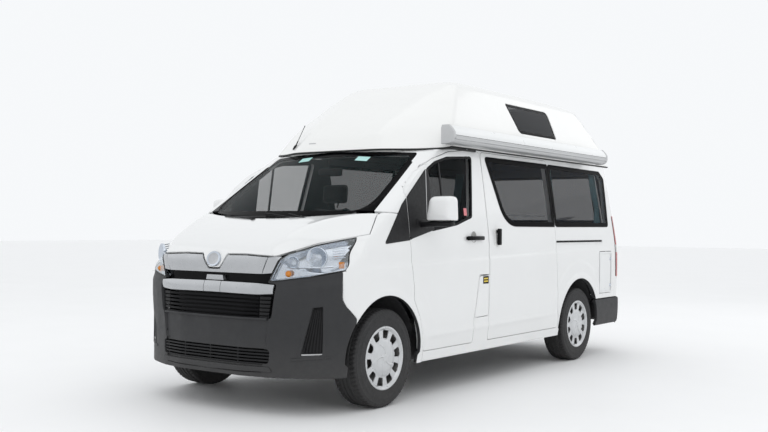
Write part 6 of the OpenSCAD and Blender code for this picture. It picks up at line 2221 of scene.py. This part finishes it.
        for side, flip in (("left", False), ("right", True)):
            for n, y in enumerate((0.997, 2.018)):
                lean = 0.12 if n == 0 else 0.9
                heights = np.linspace(CURTAIN_TOP, CURTAIN_FOOT, rows)
                grid = []
                for z in heights:
                    w = CURTAIN_W - WAIST_IN * math.exp(-(((z - WAIST_Z) / 0.09) ** 2))
                    amp = min(row_amp(w), 0.019)
                    shift = (CURTAIN_W - w) * lean
                    sway = 0.10 * math.sin(3.0 * z + n)
                    xs = float(side_x(z)) - WALL_T - 0.0225 + amp * np.sin((t + sway * 0.1) * 2 * math.pi * PLEATS)
                    grid.append(np.stack([xs, y + shift + 0.002 + t * w, np.full(cols, z)], -1))
                bm = grid_mesh(np.array(grid))
                face_out(bm, (0, y, 1.6))
                for v in bm.verts:
                    v.co.x = max(min(v.co.x, float(side_x(v.co.z)) - WALL_T - 0.002),
                        float(side_x(v.co.z)) - WALL_T - 0.043)
                area = sum(f.calc_area() for f in bm.faces)
                cloth = piece("curtain_%s_%d" % (side, n + 1), flipped(bm, flip), mat("cloth"), "body",
                    ["curtains"] if (flip and n) else [], smooth=60)
                tie = [(float(side_x(WAIST_Z)) - WALL_T - 0.022 + 0.021 * math.cos(a),
                    y + WAIST_IN * lean + 0.048 + 0.05 * math.sin(a), WAIST_Z)
                       for a in np.linspace(0, 2 * math.pi, 24, endpoint=False)]
                band = flipped(tube_mesh(tie, 0.004, 8, cyclic=True), flip)
                strap = piece("curtain_tie_%s_%d" % (side, n + 1), band, mat("cloth"), "body")


# ---- Tail ----
class VAN_OT_tail(bpy.types.Operator):
    """Tail lights, rear bumper, rear glass, tailgate grip, wiper, bare plate and high stop lamp"""

    bl_idname = "van.tail"
    bl_label = "Tail"

    def execute(self, context):
        lamp = flank_skin()
        drop(lamp, lambda c: c.z < 0.74 or c.z > 1.46 or c.y < REAR_AXLE + 0.78)
        trim(lamp, offset(TAIL_LAMP, -0.0025), "x")
        drop(lamp, lambda c: c.x < side_x(c.z) - 0.113)
        band = rect(2.0, 1.035, 3.0, 1.115)
        scribe(lamp, band, "x")
        lamp.normal_update()
        for v in lamp.verts:
            v.co += v.normal * 0.004
        tidy(lamp)
        thicken(lamp, 0.032, 0.003)
        for f in lamp.faces:
            c = f.calc_center_median()
            outward = f.normal.dot(Vector((0.7, 0.7, 0)))
            if outward < -0.2:
                f.material_index = 2
            elif inside(band, c.y, c.z) and outward > 0.2:
                f.material_index = 1
        piece("tail_light_lenses", both(lamp), mat("red", "lens_white", "under"), "body", ["tail_lights"])
        r = REAR_BUMPER_R
        turn = np.linspace(0, math.pi / 2, 14)
        path = [(0.965, y) for y in np.linspace(REAR_AXLE + 0.30, TAIL_Y - r, 26)]
        path += [(0.965 - r + r * math.cos(a), TAIL_Y - r + r * math.sin(a)) for a in turn[1:]]
        path += [(x, TAIL_Y) for x in np.linspace(0.965 - r, 0, 34)[1:]]
        heights = [(0.298, 0.036), (0.306, 0.022), (0.33, 0.015), (0.40, 0.010), (0.47, 0.008), (0.52, 0.008),
            (0.55, 0.009), (0.562, 0.014), (0.568, 0.03)]
        rows = []
        for z, d in heights:
            rows.append([(max(0, x - d * (1 if y < TAIL_Y - 0.02 else 0)) if x > 0.001 else 0,
                y - d * (1 if y > TAIL_Y - r else 0) * 0.9, z) for x, y in path])
        bumper = grid_mesh(np.array(rows))
        face_out(bumper, (0, REAR_AXLE + 0.6, 0.45))
        trim(bumper, arch_outline(REAR_AXLE, ARCH_R + 0.001), "x", False)
        tidy(bumper)
        mirror_x(bumper)
        thicken(bumper, SKIN_D, 0.003)
        for x in (-0.55, 0.55):
            eye = extruded(rounded(rect(x - 0.05, 0.355, x + 0.05, 0.385), 0.012, 4), "y", TAIL_Y - 0.012,
                TAIL_Y + 0.001, 0.002)
            join(bumper, reindex(eye, 1))
        piece("rear_bumper_shell", bumper, mat("bumper", "red"), "body", ["rear_bumper"])
        pane = rear_skin(0.86, 1.25, 1.93, -0.0022)
        trim(pane, offset(TAIL_WINDOW, 0.010), "y")
        border(pane, offset(TAIL_WINDOW, -0.03), "y")
        tidy(pane)
        thicken(pane, PANE, 0.001)
        piece("tailgate_pane", pane, mat("tint", "frit"), "tailgate", ["tailgate_glass"])
        y = float(tail_y(1.1))
        grip = rounded_block((-0.33, y - 0.02, 1.082), (0.33, y + 0.022, 1.118), 0.008, 3)
        join(grip, rounded_block((-0.09, y - 0.01, 1.066), (0.09, y + 0.015, 1.09), 0.006))
        piece("tailgate_grip", grip, mat("silver"), "tailgate")
        arm = [(0.02, 1.312), (0.12, 1.345), (0.26, 1.372), (0.42, 1.388)]
        wiper = tube_mesh([(x, float(tail_y(z)) + 0.016, z) for x, z in arm], 0.006, 8)
        blade = [(x, float(tail_y(z)) + 0.010, z) for x,
            z in ((0.10, 1.352), (0.22, 1.377), (0.34, 1.395), (0.46, 1.405))]
        join(wiper, tube_mesh(blade, 0.005, 8))
        hub = turned([(-0.012, 0.0), (-0.01, 0.02), (0.012, 0.018), (0.022, 0.012), (0.024, 0.0)], 24, (0, 1, 0),
            (0.02, float(tail_y(1.312)), 1.312))
        join(wiper, hub)
        piece("tailgate_wiper", wiper, mat("black"), "tailgate")
        plate = rounded_block((-0.235, float(tail_y(0.98)) - 0.016, 0.93), (0.235, float(tail_y(0.98)) - 0.012, 1.045),
            0.0015)
        piece("blank_plate", plate, mat("roof"), "tailgate")
        hand = extruded(rounded([(-0.06, 1.862), (0.06, 1.862), (0.05, 1.877), (-0.05, 1.877)], 0.006, 3), "y",
            float(tail_y(1.87)) - 0.006, float(tail_y(1.87)) + 0.006, 0.002)
        piece("high_stop_lamp", hand, mat("red"), "tailgate")
        return {"FINISHED"}


# ---- Carried-over frame nodes ----
class VAN_OT_underside(bpy.types.Operator):
    """Finishes of the floor, engine, tank, exhaust, suspension, axle and knuckles"""

    bl_idname = "van.underside"
    bl_label = "Underside"

    def execute(self, context):
        finishes = {"floor_pan": "under", "engine": "cast", "fuel_tank": "dash", "exhaust": "steel",
            "front_suspension": "cast", "rear_axle": "cast",
                    "knuckle_left": "cast", "knuckle_right": "cast"}
        for name, key in finishes.items():
            o = bpy.data.objects[name]
            for slot in o.material_slots:
                slot.material = MATERIALS[key]
            if not o.material_slots:
                o.data.materials.append(MATERIALS[key])
        return {"FINISHED"}


# ---- Stage ----
# Name, place, what it faces, side in metres and power in watts
LIGHTS = [("key_light", (5.5, -5.5, 7.0), (0, 0, 1.0), 6.0, 62),
          ("fill_light", (-6.5, -5.0, 4.5), (0, -0.5, 1.0), 5.0, 22),
          ("top_light", (0.5, 1.0, 8.0), (0, 0.4, 0), 7.0, 40),
          ("rear_light", (3.0, 8.0, 5.0), (0, 1.0, 1.2), 5.0, 35)]
AIR, AIR_POWER = (0.965, 0.982, 1.0, 1), 0.96
FLOOR_HALF = 60
# Camera fitted to both axles, the roof and the nose: place, azimuth, elevation and roll in degrees, lens in millimetres
CAMERA_AT, CAMERA_TURN = (4.983, -7.353, 1.284), (35.89, -0.63, 0.44)
CAMERA_LENS, SENSOR_W = 45.62, 36


class VAN_OT_stage(bpy.types.Operator):
    """Pale floor, soft studio lights and the camera"""

    bl_idname = "van.stage"
    bl_label = "Stage"

    def execute(self, context):
        s = look()
        mesh = bpy.data.meshes.new("studio_floor")
        bm = bmesh.new()
        bmesh.ops.create_grid(bm, x_segments=8, y_segments=8, size=FLOOR_HALF)
        bm.to_mesh(mesh)
        bm.free()
        floor = bpy.data.objects.new("studio_floor", mesh)
        context.scene.collection.objects.link(floor)
        mesh.materials.append(finish("studio_floor_paint", s.floor, 0.6, 0.01, 0.8, 0.05))
        world = bpy.data.worlds.new("studio_air")
        world.use_nodes = True
        back = world.node_tree.nodes["Background"]
        back.inputs["Color"].default_value = AIR
        back.inputs["Strength"].default_value = AIR_POWER * s.exposure
        context.scene.world = world
        for name, at, aim, size, power in LIGHTS:
            data = bpy.data.lights.new(name, "AREA")
            data.shape, data.size, data.energy = "SQUARE", size, power * s.exposure
            lamp = bpy.data.objects.new(name, data)
            lamp.location = at
            lamp.rotation_euler = (Vector(aim) - Vector(at)).to_track_quat("-Z", "Y").to_euler()
            context.scene.collection.objects.link(lamp)
        az, el, roll = (math.radians(a) for a in CAMERA_TURN)
        fwd = Vector((-math.sin(az) * math.cos(el), math.cos(az) * math.cos(el), -math.sin(el)))
        right = fwd.cross(Vector((0, 0, 1))).normalized()
        up = right.cross(fwd)
        right, up = right * math.cos(roll) + up * math.sin(roll), up * math.cos(roll) - right * math.sin(roll)
        data = bpy.data.cameras.new("studio_camera")
        data.lens, data.sensor_width = CAMERA_LENS, SENSOR_W
        camera = bpy.data.objects.new("studio_camera", data)
        turn = Matrix((right, up, -fwd)).transposed().to_4x4()
        camera.matrix_world = Matrix.Translation(CAMERA_AT) @ turn
        context.scene.collection.objects.link(camera)
        context.scene.camera = camera
        context.scene.view_settings.view_transform = "Standard"
        return {"FINISHED"}


# ---- Registration ----
OPERATORS = (
    VAN_OT_bonnet,
    VAN_OT_wings,
    VAN_OT_front_bumper,
    VAN_OT_body_sides,
    VAN_OT_front_doors,
    VAN_OT_sliding_door,
    VAN_OT_high_roof,
    VAN_OT_tailgate,
    VAN_OT_side_glass,
    VAN_OT_cab_frame,
    VAN_OT_windscreen,
    VAN_OT_grille,
    VAN_OT_bumper_vents,
    VAN_OT_headlights,
    VAN_OT_wheels,
    VAN_OT_mirrors,
    VAN_OT_handles,
    VAN_OT_flaps,
    VAN_OT_antenna,
    VAN_OT_awning,
    VAN_OT_roof_fittings,
    VAN_OT_seats,
    VAN_OT_cabin,
    VAN_OT_tail,
    VAN_OT_underside,
    VAN_OT_stage,
)


class VAN_PT_panel(bpy.types.Panel):
    """Camper van pieces"""

    bl_idname = "VAN_PT_panel"
    bl_label = "Camper van"
    bl_space_type = "VIEW_3D"
    bl_region_type = "UI"
    bl_category = "Camper"

    def draw(self, context):
        for key in VAN_PG_look.__annotations__:
            self.layout.prop(context.scene.camper_van, key)
        for cls in OPERATORS:
            self.layout.operator(cls.bl_idname)


CLASSES = (VAN_PG_look,) + OPERATORS + (VAN_PT_panel,)


def register():
    """Registers the settings, the operators and the panel."""
    for cls in CLASSES:
        bpy.utils.register_class(cls)
    bpy.types.Scene.camper_van = bpy.props.PointerProperty(type=VAN_PG_look)


def unregister():
    """Removes what register added."""
    del bpy.types.Scene.camper_van
    for cls in reversed(CLASSES):
        bpy.utils.unregister_class(cls)


def main():
    """Builds every piece in order."""
    register()
    make_finishes()
    for cls in OPERATORS:
        group, name = cls.bl_idname.split(".")
        getattr(getattr(bpy.ops, group), name)()


if __name__ == "__main__":
    main()
